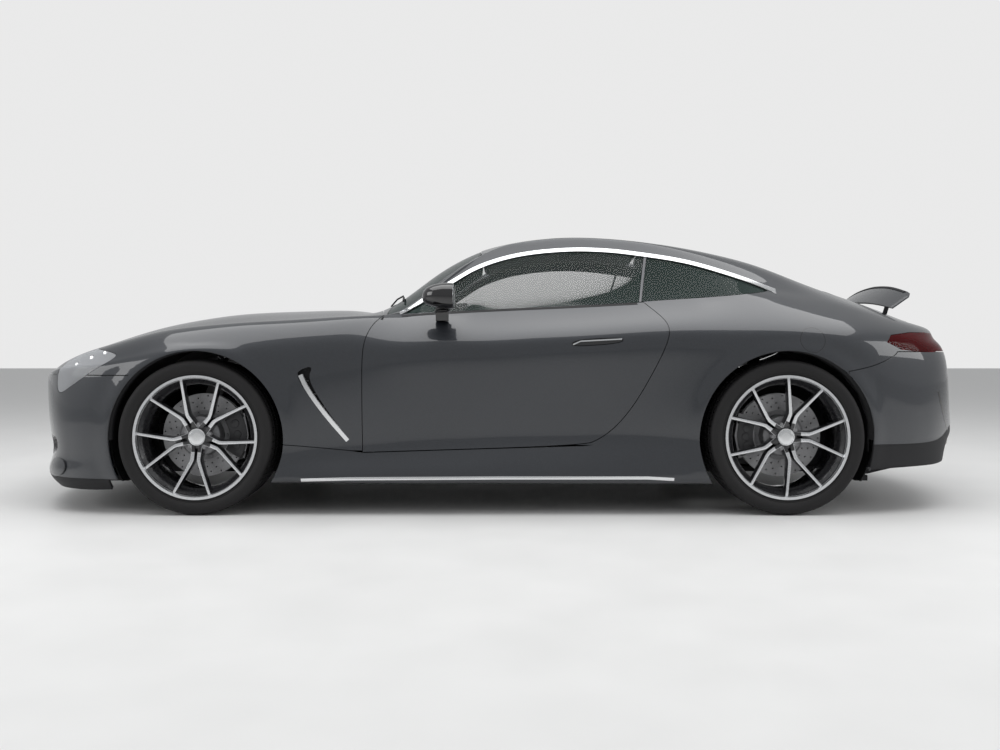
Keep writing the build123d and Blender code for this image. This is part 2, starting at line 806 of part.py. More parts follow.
def roof():
    """Roof skin between the two rails, from windscreen to tailgate."""
    with BuildPart() as roof:
        top_skin(screen_top_x - seat_gap, hatch_top_x + panel_gap, roof_wall)
        edge_gap(screen_top_x, hatch_top_x, seat_gap)
    roof.part.label = "roof"
    export_step(roof.part, "parts/roof.step")


def windscreen():
    """Windscreen between the pillars, curved at its foot."""
    with BuildPart() as windscreen:
        top_skin(screen_base_x, screen_top_x, glass_thickness)
        plan_prism(curved_back(screen_lead, screen_trail, hood_side), 0, far, Mode.INTERSECT)
        edge_gap(screen_base_x, screen_top_x, seat_gap)
        keep_largest(windscreen)
    windscreen.part.label = "windscreen"
    export_step(windscreen.part, "parts/windscreen.step")


# ---- tailgate and rear wing ----
def wing_prism(gap, low_z, high_z, mode=Mode.ADD):
    """An upright prism on the folded wing's plan outline, grown by a gap."""
    end_x = wing_tip_x - wing_end_chord
    corner_x, corner_y = wing_front_x - wing_corner[0], wing_corner[1]
    with BuildSketch(Plane.XY.offset(low_z)) as outline:
        with BuildLine():
            ThreePointArc((wing_tip_x, -wing_half), (wing_front_x, 0), (wing_tip_x, wing_half))
            Polyline((wing_tip_x, wing_half), (end_x, wing_half), (corner_x, corner_y))
            ThreePointArc((corner_x, corner_y), (wing_back_x, 0), (corner_x, -corner_y))
            Polyline((corner_x, -corner_y), (end_x, -wing_half), (wing_tip_x, -wing_half))
        make_face()
        if gap:
            offset(amount=gap, kind=Kind.INTERSECTION, mode=Mode.REPLACE)
    extrude(outline.sketch, amount=high_z - low_z, mode=mode)


def deck_z(x, depth):
    """Height of a point in line with the wing's posts, a depth below the deck's surface."""
    return crown_z(x, wing_arm_y) - depth


def post_outline(half, low, top):
    """Side-view outline of a folded post, between two distances along it from its pin."""
    ux, uz = slide_axis[0], slide_axis[2]
    ends = [(pin_x + ux * low, pin_z + uz * low), (pin_x + ux * top, pin_z + uz * top)]
    (xa, za), (xb, zb) = ends
    return [
        (xa - uz * half, za + ux * half),
        (xa + uz * half, za - ux * half),
        (xb + uz * half, zb - ux * half),
        (xb - uz * half, zb + ux * half),
    ]


def rear_window(gap):
    """Plan outline of the glass in the tailgate, moved in by gap."""
    front_y, back_y = wide(430) - gap, wide(480) - gap
    front_x, back_x = rear_window_front_x - gap, rear_window_back_x + gap
    return [(front_x, -front_y), (back_x, -back_y), (back_x, back_y), (front_x, front_y)]


def tailgate():
    """Tailgate with its window, its upright tail panel and the recess that the wing folds into."""
    above, overlap, margin = 40, 20, 20
    slab_front_x, slab_back_x = wing_tip_x + margin + 10, wing_back_x - margin - 10
    low = pocket_depth + pocket_wall
    pocket_front_x, pocket_back_x = pin_x + 34, pin_x - 40
    pocket_half = post_width / 2 + ear_gap + ear_width + panel_gap
    with BuildPart() as tub:
        top_skin(slab_front_x, slab_back_x, wing_recess + pocket_wall)
        wing_prism(wing_recess_gap + pocket_wall, 0, far, Mode.INTERSECT)
    with BuildPart() as recess:
        top_skin(slab_front_x, slab_back_x, wing_recess + above, -above)
        wing_prism(wing_recess_gap, 0, far, Mode.INTERSECT)
    with BuildPart() as tail:
        bumper_shell("rear", -1, LAMP_LEVELS, REAR_CORNER, tail_wall)
        area = box_outline((-far, -tail_half), (rear_axle_x, tail_half))
        plan_prism(area, tail_split_z + panel_gap, far, Mode.INTERSECT)
    with BuildPart() as tailgate:
        top_skin(hatch_top_x, hatch_end_x, tailgate_wall)
        plan_prism(rear_window(0), 0, far, Mode.SUBTRACT)
        add(tub.part)
        for y in (-wing_arm_y, wing_arm_y):
            front_x, back_x = pocket_front_x + pocket_wall, pocket_back_x - pocket_wall
            half = pocket_half + pocket_wall
            shell = [
                (front_x, deck_z(front_x, wing_recess + pocket_wall / 2)),
                (back_x, deck_z(back_x, wing_recess + pocket_wall / 2)),
                (back_x, deck_z(back_x, low)),
                (front_x, deck_z(front_x, low)),
            ]
            side_prism(shell, y - half, y + half)
        add(tail.part)
        add(recess.part, mode=Mode.SUBTRACT)
        for y in (-wing_arm_y, wing_arm_y):
            hollow = [
                (pocket_front_x, deck_z(pocket_front_x, overlap)),
                (pocket_back_x, deck_z(pocket_back_x, overlap)),
                (pocket_back_x, deck_z(pocket_back_x, pocket_depth)),
                (pocket_front_x, deck_z(pocket_front_x, pocket_depth)),
            ]
            side_prism(hollow, y - pocket_half, y + pocket_half, Mode.SUBTRACT)
            guide = post_outline(post_half + seat_gap, -post_length, 0)
            half = post_width / 2 + seat_gap
            side_prism(guide, y - half, y + half, Mode.SUBTRACT)
        edge_gap(hatch_top_x, hatch_end_x, tailgate_gap)
        keep_largest(tailgate)
    tailgate.part.label = "tailgate"
    export_step(tailgate.part, "parts/tailgate.step")


def rear_glass():
    """Fixed glass in the tailgate's window."""
    with BuildPart() as glass:
        top_skin(hatch_top_x, rear_window_back_x - 10, glass_thickness)
        plan_prism(rear_window(seat_gap), 0, far, Mode.INTERSECT)
    glass.part.label = "rear_glass"
    export_step(glass.part, "parts/rear_glass.step")


def wing_posts():
    """Two posts on a tie bar, raised through their guides in the tailgate."""
    with BuildPart() as folded:
        for y in (-wing_arm_y, wing_arm_y):
            side_prism(post_outline(post_half, -post_length, 0), y - post_width / 2, y + post_width / 2)
            rod((pin_x, y - post_width / 2, pin_z), (pin_x, y + post_width / 2, pin_z), eye_radius)
            reach = post_width / 2 + 1
            rod((pin_x, y - reach, pin_z), (pin_x, y + reach, pin_z), pin_radius + seat_gap, Mode.SUBTRACT)
        down = 2 * tie_radius - post_length
        x, z = pin_x + slide_axis[0] * down, pin_z + slide_axis[2] * down
        rod((x, -wing_arm_y, z), (x, wing_arm_y, z), tie_radius)
    with BuildPart() as posts:
        add(folded.part.translate((-wing_lean, 0, wing_rise)))
    posts.part.label = "wing_posts"
    export_step(posts.part, "parts/wing_posts.step")


def wing():
    """Blade that follows the deck's crown, tilted up on the pins at the posts' tops."""
    knuckle, heel, ear_length = 9, 5, 45
    top = wing_set_in + wing_thickness / 2
    ear = [
        (pin_x + knuckle, deck_z(pin_x + knuckle, top)),
        (pin_x + knuckle, pin_z),
        (pin_x + heel, pin_z - knuckle + 1),
        (pin_x - heel, pin_z - knuckle + 1),
        (pin_x - knuckle, pin_z),
        (pin_x - ear_length, deck_z(pin_x - ear_length, top)),
    ]
    inner = post_width / 2 + ear_gap
    with BuildPart() as folded:
        top_skin(wing_tip_x + 20, wing_back_x - 20, wing_thickness, wing_set_in)
        wing_prism(0, 0, far, Mode.INTERSECT)
        for y in (-wing_arm_y, wing_arm_y):
            side_prism(ear, y + inner, y + inner + ear_width)
            side_prism(ear, y - inner - ear_width, y - inner)
            rod((pin_x, y - inner - 1, pin_z), (pin_x, y + inner + 1, pin_z), pin_radius)
    with BuildPart() as wing:
        raised = folded.part.rotate(Axis((pin_x, 0, pin_z), (0, 1, 0)), wing_tilt)
        add(raised.translate((-wing_lean, 0, wing_rise)))
    wing.part.label = "wing"
    export_step(wing.part, "parts/wing.step")


# ---- doors, glass, mirrors, sills and lamps ----
def door_skins():
    """The left door: outer skin, inner card and the rail that holds the glass."""
    lap = 4
    with BuildPart() as card:
        side_skin(door_skin_front_x, door_skin_back_x, "belt", "sill", door_card, door_skin - lap)
        side_prism(grown(door_outline, -door_step), 0, far, Mode.INTERSECT)
    with BuildPart() as door:
        side_skin(door_skin_front_x, door_skin_back_x, "belt", "sill", door_skin)
        side_prism(door_outline, 0, far, Mode.INTERSECT)
        add(card.part)
        for x in stops(front_axle_x - 862, rear_axle_x + 645):
            y, z = line_at(x, "belt")
            with BuildSketch(Plane.YZ.offset(x)):
                with BuildLine():
                    Polyline(
                        (y - door_rail_width, z - seat_gap),
                        (y, z - seat_gap),
                        (y + 3, z - glass_gap),
                        (y + 3, z - door_rail_depth),
                        (y - door_rail_width, z - door_rail_depth),
                        close=True,
                    )
                make_face()
        loft(ruled=True)
        side_prism(grown(door_glass_outline, seat_gap), 0, far, Mode.SUBTRACT)
        keep_largest(door)
    return door.part


def on_side(side):
    """Turns the left-hand piece being built into the right-hand one where side is -1."""
    if side < 0:
        mirror(about=Plane.XZ, mode=Mode.REPLACE)


def door(side, name, left_door):
    """One door, from the left-hand shape."""
    with BuildPart() as door:
        add(left_door)
        on_side(side)
    door.part.label = f"door_{name}"
    export_step(door.part, f"parts/door_{name}.step")


def door_glass(side, name):
    """The pane that closes one door's window."""
    with BuildPart() as glass:
        side_skin(front_axle_x - 870, door_skin_back_x, "rail", "belt", glass_thickness, glass_sink)
        side_prism(door_glass_outline, 0, far, Mode.INTERSECT)
        keep_largest(glass)
        on_side(side)
    glass.part.label = f"door_glass_{name}"
    export_step(glass.part, f"parts/door_glass_{name}.step")


def quarter_glass():
    """The fixed pane behind each door."""
    with BuildPart() as glass:
        side_skin(rear_axle_x + 640, rear_axle_x - 40, "rail", "belt", glass_thickness, glass_sink)
        side_prism(grown(quarter_outline, -seat_gap), 0, far, Mode.INTERSECT)
        keep_largest(glass)
        mirror(about=Plane.XZ)
    glass.part.label = "quarter_glass"
    export_step(glass.part, "parts/quarter_glass.step")


def mirror_housing(side, name, left_door):
    """Door mirror: a rounded shell on a short foot that stands on the door."""
    x, y, z = front_axle_x - 1120.0, wide(970), high(1000)
    # columns: ahead, out, up, width, height, corner radius
    shell = ((-60, 0, 0, 190, 120, 40), (10, 0, 0, 186, 112, 40), (84, -8, -6, 110, 56, 24))
    foot = [
        (wide(835), belt_z(x) - 60),
        (y - 40, z - 40),
        (y + 30, z - 40),
        (wide(880), belt_z(x) - 62),
    ]
    with BuildPart() as housing:
        for ahead, out, up, width, height, radius in shell:
            with BuildSketch(Plane.YZ.offset(x + ahead)):
                with Locations((y + out, z + up)):
                    RectangleRounded(width, height, radius)
        loft(ruled=True)
        front_prism(foot, x - 34, x + 26)
        add(left_door, mode=Mode.SUBTRACT)
        keep_largest(housing)
        on_side(side)
    housing.part.label = f"mirror_{name}"
    export_step(housing.part, f"parts/mirror_{name}.step")


def sills():
    """The sill under each door, with two jacking pads."""
    liner_reach, jack_y = 945, 850
    xs = (front_axle_x - arch_radius - 4, rear_axle_x + 1316, rear_axle_x + arch_radius + 4)
    with BuildPart() as sills:
        for x in xs:
            y, z = line_at(x, "sill")
            top_z = z - (panel_gap if x == xs[1] else seat_gap)
            with BuildSketch(Plane.YZ.offset(x)):
                with BuildLine():
                    Polyline(
                        (y, top_z),
                        (y - 4, high(225)),
                        (wide(968), high(190)),
                        (wide(984), high(168)),
                        (wide(975), high(156)),
                        (wide(930), sill_bottom_z),
                        (wide(sill_half), sill_bottom_z),
                        (wide(sill_half), top_z),
                        close=True,
                    )
                make_face()
        loft(ruled=True)
        for axle in ("front", "rear"):
            wheel_cylinder(axle, arch_radius + 2, 0, far, arch_drop, Mode.SUBTRACT)
            wheel_cylinder(axle, house_radius + seat_gap, 0, wide(liner_reach), mode=Mode.SUBTRACT)
        keep_largest(sills)
        pads = [(x, wide(jack_y)) for x in (front_axle_x - jack_reach, rear_axle_x + jack_reach)]
        with BuildSketch(Plane.XY.offset(sill_bottom_z)):
            with Locations(*pads):
                Circle(jack_radius)
        extrude(amount=-jack_drop)
        mirror(about=Plane.XZ)
    sills.part.label = "sills"
    export_step(sills.part, "parts/sills.step")


def headlamps():
    """The lens block in each fender's corner."""
    with BuildPart() as lamps:
        side_skin(hood_front_x, front_axle_x + 300, "edge", "sill", headlamp_wall)
        side_prism(headlamp_outline, 0, far, Mode.INTERSECT)
        plan_prism(box_outline((0, 0), (far, wide(headlamp_inner_y))), 0, far, Mode.SUBTRACT)
        side_prism(grown(bumper_outline, panel_gap), 0, far, Mode.SUBTRACT)
        keep_largest(lamps)
        mirror(about=Plane.XZ)
    lamps.part.label = "headlamps"
    export_step(lamps.part, "parts/headlamps.step")


def tail_lamps():
    """The lamp at each rear corner, from the tailgate round to the flank."""
    with BuildPart() as lamps:
        bumper_shell("rear", -1, LAMP_LEVELS, REAR_CORNER, lamp_wall)
        side_prism(tail_lamp_outline, tail_half + tailgate_gap, far, Mode.INTERSECT)
        keep_largest(lamps)
        mirror(about=Plane.XZ)
    lamps.part.label = "tail_lamps"
    export_step(lamps.part, "parts/tail_lamps.step")


# ---- structure under the panels ----
def floor_pan():
    """Floor, tunnel, bulkheads, luggage floor and the brackets that carry both bumpers."""
    half = wide(sill_half) - seat_gap
    inner = half - 30
    front_x, back_x = front_axle_x + 560, rear_axle_x - 430
    bulkhead_x = front_axle_x - 690.0
    trunk_front_x, trunk_back_x = rear_axle_x + 330.0, rear_axle_x - 800.0
    trunk_z, plate, rail_half, rail_y = high(560), 12, 30, wide(430)
    bracket_half, bracket_z, tray_x = 60, 208, front_axle_x + 810
    front_reach = level_reach(FRONT_LEVELS, bracket_z) - bumper_wall - nose_back(bracket_half) - seat_gap
    tail_bow = 1.6
    rear_reach = level_reach(REAR_LEVELS, trunk_z + plate) - bumper_wall - tail_bow - seat_gap
    with BuildPart() as floor:
        block((back_x, front_x), (-half, half), (floor_z, floor_top_z))
        block((bulkhead_x - plate, bulkhead_x + plate), (-inner, inner), (floor_z, high(860)))
        tunnel = (-tunnel_half, tunnel_half)
        block((trunk_front_x, bulkhead_x), tunnel, (floor_z + 20, floor_z + tunnel_height))
        block((trunk_front_x - plate, trunk_front_x + plate), (-inner, inner), (floor_z, trunk_z))
        block((trunk_back_x, trunk_front_x), (-wide(440), wide(440)), (trunk_z - plate, trunk_z + plate))
        for y in (-rail_y, rail_y):
            block((back_x, trunk_front_x), (y - plate, y + plate), (floor_z, trunk_z))
            block((bulkhead_x, front_x), (y - rail_half, y + rail_half), (floor_z + 20, floor_z + 240))
        block((front_axle_x + 550, tray_x), (-430, 430), (floor_z, floor_top_z))
        bracket = (-bracket_half, bracket_half)
        block((front_axle_x + 804, front_axle_x + front_reach), bracket, (bracket_z - 16, bracket_z))
        block((front_axle_x + 801, front_axle_x + 813), bracket, (floor_z, bracket_z))
        block((rear_axle_x - rear_reach, rear_axle_x - 790), bracket, (trunk_z - plate, trunk_z + plate))
        for axle, top_z in (("front", 420), ("rear", 500)):
            x = axle_x[axle]
            block((x - 180, x + 180), (-480, 480), (floor_top_z + seat_gap, top_z), Mode.SUBTRACT)
            for low_y, high_y in ((liner_inner_y - 6, far), (-far, 6 - liner_inner_y)):
                wheel_cylinder(axle, house_radius + seat_gap, low_y, high_y, mode=Mode.SUBTRACT)
        keep_largest(floor)
    floor.part.label = "floor_pan"
    export_step(floor.part, "parts/floor_pan.step")


def wheel_liners():
    """The round liner of each wheel house."""
    outer_y = wide(liner_outer_y)
    with BuildPart() as liners:
        for axle in ("front", "rear"):
            wheel_cylinder(axle, house_radius, liner_inner_y, outer_y)
            inner = house_radius - liner_wall
            wheel_cylinder(axle, inner, liner_inner_y - 1, outer_y + 1, mode=Mode.SUBTRACT)
        side_prism(box_outline((-far, -far), (far, liner_low_z)), 0, far, Mode.SUBTRACT)
        mirror(about=Plane.XZ)
    liners.part.label = "wheel_liners"
    export_step(liners.part, "parts/wheel_liners.step")


def engine_block():
    """The engine as one plain block, on the front crossmember."""
    back_x, front_x, half = front_axle_x - 640, front_axle_x - 20, 280
    low_z = floor_top_z + crossmember_height + 2 * seat_gap + 0.2
    with BuildPart() as engine:
        block((back_x, front_x), (-half, half), (low_z, high(760)))
    engine.part.label = "engine_block"
    export_step(engine.part, "parts/engine_block.step")


def exhaust():
    """Two silencers with a pair of round tail pipes each."""
    box_half_y, box_half_z, box_x = 125, 65, rear_axle_x - 430 - seat_gap
    pipe_start_x, bore_start_x, pipe_end_x = rear_axle_x - 760, rear_axle_x - 800, rear_axle_x - 985
    z = high(exhaust_z)
    with BuildPart() as exhaust:
        for y in (-wide(330), wide(330)):
            block((box_x - 340, box_x), (y - box_half_y, y + box_half_y), (z - box_half_z, z + box_half_z))
        for y in PIPE_YS:
            rod((pipe_start_x, wide(y), z), (pipe_end_x, wide(y), z), pipe_radius)
            rod((bore_start_x, wide(y), z), (-far, wide(y), z), pipe_radius - pipe_wall, Mode.SUBTRACT)
    exhaust.part.label = "exhaust"
    export_step(exhaust.part, "parts/exhaust.step")


# ---- wheels ----
wheel_turn = {"front": 0.0, "rear": 14.0}


def wheel_y(axle):
    """How far out an axle's wheels stand from the centre plane."""
    return (front_track if axle == "front" else rear_track) / 2


def hub_out():
    """How far out of the wheel's centre plane the spokes' inner face lies."""
    return rim_width / 2 - spoke_set_in - spoke_depth


def wheel_plane(axle, side, out):
    """Sketch plane square to the axle, out from the wheel's centre plane, facing outwards."""
    y = side * (wheel_y(axle) + out)
    return Plane(origin=(axle_x[axle], y, axle_z), x_dir=(-side, 0, 0), z_dir=(0, side, 0))


def turned(axle, side, profile):
    """A ring turned about the wheel's axle from (distance out, radius) points."""
    centre = (axle_x[axle], side * wheel_y(axle), axle_z)
    with BuildSketch(Plane(origin=centre, x_dir=(0, side, 0), z_dir=(1, 0, 0))) as section:
        with BuildLine():
            Polyline(*[(out, radius * side) for out, radius in profile], close=True)
        make_face()
    revolve(section.sketch, axis=Axis(centre, (0, 1, 0)))


def bar_outline(points, width):
    """Outline of a bent bar of even width along three points."""
    left, right = [], []
    for k, (x, y) in enumerate(points):
        xa, ya = points[max(k - 1, 0)]
        xb, yb = points[min(k + 1, len(points) - 1)]
        run = hypot(xb - xa, yb - ya)
        nx, ny = -(yb - ya) / run, (xb - xa) / run
        left.append((x + nx * width / 2, y + ny * width / 2))
        right.append((x - nx * width / 2, y - ny * width / 2))
    return left + list(reversed(right))


def rim(axle, side, corner):
    """Barrel with five pairs of spokes on a hub, bored for the bolts."""
    half, seat, flange = rim_width / 2, rim_seat_radius, rim_flange_radius
    lip, well, drop = 8, 14, 30
    barrel = [
        (half, flange),
        (half - lip, flange),
        (half - bead_step, seat),
        (bead_step - half, seat),
        (lip - half, flange),
        (-half, flange),
        (-half, flange - 10),
        (well - half, seat - rim_wall),
        (half - drop, seat - rim_wall),
        (half, flange - rim_wall),
    ]
    reach, spread = seat - rim_wall / 2, radians(spoke_spread)
    root, bend = (30, 13), (116, 15)
    inner = hub_out()
    face = inner + spoke_depth
    with BuildPart() as rim:
        with BuildSketch(wheel_plane(axle, side, inner)):
            Circle(hub_radius)
            for k in range(spoke_pairs):
                turn = wheel_turn[axle] - 90 + k * 360 / spoke_pairs
                for hand in (1, -1):
                    end = (reach * cos(spread), reach * sin(spread))
                    points = [(x, hand * y) for x, y in (root, bend, end)]
                    with BuildLine(Plane.XY.rotated((0, 0, turn))):
                        Polyline(*bar_outline(points, spoke_width), close=True)
                    make_face()
        extrude(amount=spoke_depth)
        with BuildSketch(wheel_plane(axle, side, inner)):
            with PolarLocations(lug_circle / 2, spoke_pairs, start_angle=wheel_turn[axle] - 54):
                Circle(lug_hole_radius)
        extrude(amount=spoke_depth, mode=Mode.SUBTRACT)
        with BuildSketch(wheel_plane(axle, side, inner - hub_boss)):
            Circle(hub_radius + 12)
        extrude(amount=hub_boss)
        with BuildSketch(wheel_plane(axle, side, face)):
            Circle(cap_radius)
        extrude(amount=cap_height)
        turned(axle, side, barrel)
    rim.part.label = f"rim_{corner}"
    export_step(rim.part, f"parts/rim_{corner}.step")


def tyre(axle, side, corner):
    """Tyre on the rim's seats, hollow inside."""
    half, seat, flange, top = tyre_width / 2, rim_seat_radius, rim_flange_radius, tyre_radius
    inner = rim_width / 2 - bead_step - 0.5
    # one side of the section, from the bead out to the tread: (distance out, radius)
    shoulder = [
        (inner, seat + seat_gap),
        (inner + 3, flange + 2),
        (half - 6, flange + 16),
        (half, (flange + top) / 2 + 4),
        (half - 7, top - 18),
        (half - 26, top - 4),
        (half - 60, top),
    ]
    with BuildPart() as tyre:
        turned(axle, side, shoulder + [(-out, radius) for out, radius in reversed(shoulder)])
    tyre.part.label = f"tyre_{corner}"
    export_step(tyre.part, f"parts/tyre_{corner}.step")


def disc(axle, side, corner):
    """Brake disc with its hat, which turns with the wheel."""
    thick, centre, bore = disc_thickness / 2, -disc_set_in, stub_radius + seat_gap
    hat = hub_out() - hub_boss - seat_gap
    profile = [
        (centre - thick, disc_radius),
        (centre + thick, disc_radius),
        (centre + thick, disc_hat_radius),
        (hat, disc_hat_radius - 6),
        (hat, bore),
        (hat - disc_hat_wall, bore),
        (hat - disc_hat_wall, disc_hat_radius - 16),
        (centre - thick, disc_hat_radius - 12),
    ]
    with BuildPart() as disc:
        turned(axle, side, profile)
    disc.part.label = f"disc_{corner}"
    export_step(disc.part, f"parts/disc_{corner}.step")


# ---- axles ----
def upright(axle):
    """The left upright with its stub, and a caliper that straddles the disc beside the axle."""
    x, y = axle_x[axle], wheel_y(axle)
    disc_in = y - disc_set_in - disc_thickness / 2
    disc_out = disc_in + disc_thickness
    plate_out = disc_in - knuckle_inset
    plate_in = plate_out - knuckle_width
    toward = -1 if axle == "front" else 1
    inner_r, outer_r = disc_radius - caliper_depth, caliper_reach
    low, top = axle_z - knuckle_half, axle_z + knuckle_half
    plate = [(x - 60, low), (x + 60, low), (x + 50, top), (x - 50, top)]
    caliper = [
        (x + toward * inner_r, axle_z - caliper_half + 20),
        (x + toward * (outer_r - 24), axle_z - caliper_half),
        (x + toward * (outer_r - 5), axle_z),
        (x + toward * (outer_r - 24), axle_z + caliper_half),
        (x + toward * inner_r, axle_z + caliper_half - 20),
    ]
    arm = box_outline((x + toward * 30, axle_z - 60), (x + toward * (inner_r + 20), axle_z + 60))
    side_prism(plate, plate_in, plate_out)
    side_prism(caliper, disc_in - caliper_cheek - 4, disc_out + caliper_cheek)
    side_prism(arm, plate_in, plate_out)
    reach = disc_radius + caliper_gap
    wheel_cylinder(axle, reach, disc_in - caliper_gap, disc_out + caliper_gap, mode=Mode.SUBTRACT)
    stub_end = y + hub_out() - hub_boss - seat_gap
    rod((x, plate_out - 5, axle_z), (x, stub_end, axle_z), stub_radius)


def knuckle(side, name):
    """Front upright, which steers on its two pivots."""
    with BuildPart() as knuckle:
        upright("front")
        keep_largest(knuckle)
        on_side(side)
    knuckle.part.label = f"knuckle_{name}"
    export_step(knuckle.part, f"parts/knuckle_{name}.step")


def front_axle():
    """Front crossmember with a lower and an upper arm that carry each knuckle on its pivots."""
    x, y = front_axle_x, wheel_y("front") - kingpin_offset
    low_half, top_half = 16, 14
    low_z = axle_z - knuckle_half - seat_gap - low_half
    top_z = axle_z + knuckle_half + seat_gap + top_half
    beam_z = floor_top_z + 0.5
    with BuildPart() as axle:
        for dx in (-130, 130):
            rod((x + dx, 385, low_z), (x, y, low_z), 13)
        rod((x, y, low_z - low_half), (x, y, low_z + low_half), pivot_radius)
        rod((x, 380, top_z), (x, y, top_z), 11)
        rod((x, y, top_z - top_half), (x, y, top_z + top_half), pivot_radius)
        rod((x, 390, low_z), (x, 390, top_z + 10), 24)
        mirror(about=Plane.XZ)
        block((x - 150, x + 150), (-400, 400), (beam_z, beam_z + crossmember_height))
        keep_largest(axle)
    axle.part.label = "front_axle"
    export_step(axle.part, "parts/front_axle.step")


def rear_axle():
    """Rear crossmember, differential, half shafts, arms and fixed uprights with calipers."""
    x = rear_axle_x
    reach = wheel_y("rear") - disc_set_in - disc_thickness / 2 - 54
    beam_z = floor_top_z + 0.5
    with BuildPart() as axle:
        upright("rear")
        rod((x, 130, axle_z), (x, reach, axle_z), 22)
        rod((x + 40, 370, axle_z - 130), (x, reach, axle_z - 130), 18)
        rod((x, 130, axle_z + 90), (x, reach, axle_z + 120), 14)
        mirror(about=Plane.XZ)
        block((x - 130, x + 130), (-150, 150), (axle_z - 110, axle_z + 110))
        block((x - 100, x + 100), (-380, 380), (beam_z, beam_z + crossmember_height))
        keep_largest(axle)
    axle.part.label = "rear_axle"
    export_step(axle.part, "parts/rear_axle.step")


# ---- cabin ----
def seats():
    """Two bucket seats, each a cushion and a back that leans, with a headrest."""
    x, y = rear_axle_x + seat_set, seat_y
    cushion = scaled([(x + 480, 250), (x + 500, 330), (x + 460, 390), (x + 20, 330), (x - 40, 250)])
    back = scaled([
        (x + 60, 300),
        (x + 40, 420),
        (x - 130, 900),
        (x - 150, 1080),
        (x - 235, 1080),
        (x - 240, 900),
        (x - 60, 270),
    ])
    with BuildPart() as seats:
        side_prism(cushion, y - seat_half, y + seat_half)
        side_prism(back, y - seat_back_half, y + seat_back_half)
        block((x + 30, x + 410), (y - 150, y + 150), (floor_top_z + seat_gap, high(255) - seat_gap))
        for hand in (1, -1):
            taper = [(400, 830), (120, 1000), (120, 1200), (400, 1200)]
            outline = [(y + hand * out, high(z)) for out, z in taper]
            front_prism(outline, x - 400, x + 100, Mode.SUBTRACT)
        keep_largest(seats)
        mirror(about=Plane.XZ)
    seats.part.label = "seats"
    export_step(seats.part, "parts/seats.step")


def along_column(distance):
    """A point on the steering column's line, a distance forward of the wheel's hub."""
    x, y, z = wheel_hub
    return (x + distance * cos(column_tilt), y, z - distance * sin(column_tilt))


def dashboard():
    """Instrument panel across the cabin with the console that runs back between the seats."""
    x = front_axle_x - 702.0 - seat_gap
    half = wide(dash_half)
    tunnel_z = floor_z + tunnel_height + seat_gap
    panel = scaled([
        (x, 660),
        (x, 850),
        (x - 130, 872),
        (x - 330, 885),
        (x - 385, 850),
        (x - 375, 760),
        (x - 260, 640),
        (x - 60, 620),
    ])
    console = scaled([(x - 250, 660), (x - 330, 700), (x - 620, 560), (x - 1150, 540)])
    console = [(x - 200, tunnel_z)] + console + [(x - 1160, tunnel_z)]
    with BuildPart() as dash:
        side_prism(panel, -half, half)
        side_prism(console, -console_half, console_half)
        rod(along_column(steering_boss + seat_gap), along_column(steering_boss + 130), column_radius)
    dash.part.label = "dashboard"
    export_step(dash.part, "parts/dashboard.step")


def steering_wheel():
    """Round rim on three spokes and a boss that meets the column."""
    axis = Vector(-cos(column_tilt), 0, sin(column_tilt))
    plane = Plane(origin=wheel_hub, x_dir=(0, 1, 0), z_dir=axis)
    pad_radius, pad_set_in, boss_radius, boss_gap, spoke_height = 58, 14, 30, 10, 34
    with BuildPart() as wheel:
        with BuildSketch(Plane(origin=wheel_hub, x_dir=axis, z_dir=(0, -1, 0))):
            with Locations((0, steering_radius)):
                Circle(steering_grip)
        revolve(axis=Axis(wheel_hub, tuple(axis)))
        with BuildSketch(plane.offset(-pad_set_in)):
            Circle(pad_radius)
            for turn in (0, 180, 270):
                with PolarLocations(steering_radius / 2, 1, start_angle=turn):
                    Rectangle(steering_radius, spoke_height)
        extrude(amount=spoke_plate)
        with BuildSketch(plane.offset(-steering_boss)):
            Circle(boss_radius)
        extrude(amount=steering_boss - boss_gap)
    wheel.part.label = "steering_wheel"
    export_step(wheel.part, "parts/steering_wheel.step")


def main():
    os.makedirs("parts", exist_ok=True)
    hood()
    front_fenders()
    front_bumper()
    grille()
    radiator()
    rear_bumper()
    diffuser()
    body_sides()
    roof()
    windscreen()
    tailgate()
    rear_glass()
    wing_posts()
    wing()
    quarter_glass()
    sills()
    headlamps()
    tail_lamps()
    floor_pan()
    wheel_liners()
    engine_block()
    exhaust()
    left_door = door_skins()
    for side, name in ((1, "left"), (-1, "right")):
        door(side, name, left_door)
        door_glass(side, name)
        mirror_housing(side, name, left_door)
        knuckle(side, name)
        for axle in ("front", "rear"):
            rim(axle, side, f"{axle}_{name}")
            tyre(axle, side, f"{axle}_{name}")
            disc(axle, side, f"{axle}_{name}")
    front_axle()
    rear_axle()
    seats()
    dashboard()
    steering_wheel()


main()
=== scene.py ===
"""Coupe car: a smooth body, glass, lamps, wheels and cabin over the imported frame.

Metres in Blender; the tables are in millimetres. +X is the nose, +Y the car's left, +Z up.
"""

from math import atan2, cos, hypot, pi, radians, sin, sqrt

import bmesh
import bpy
from mathutils import Matrix, Vector
from mathutils.bvhtree import BVHTree


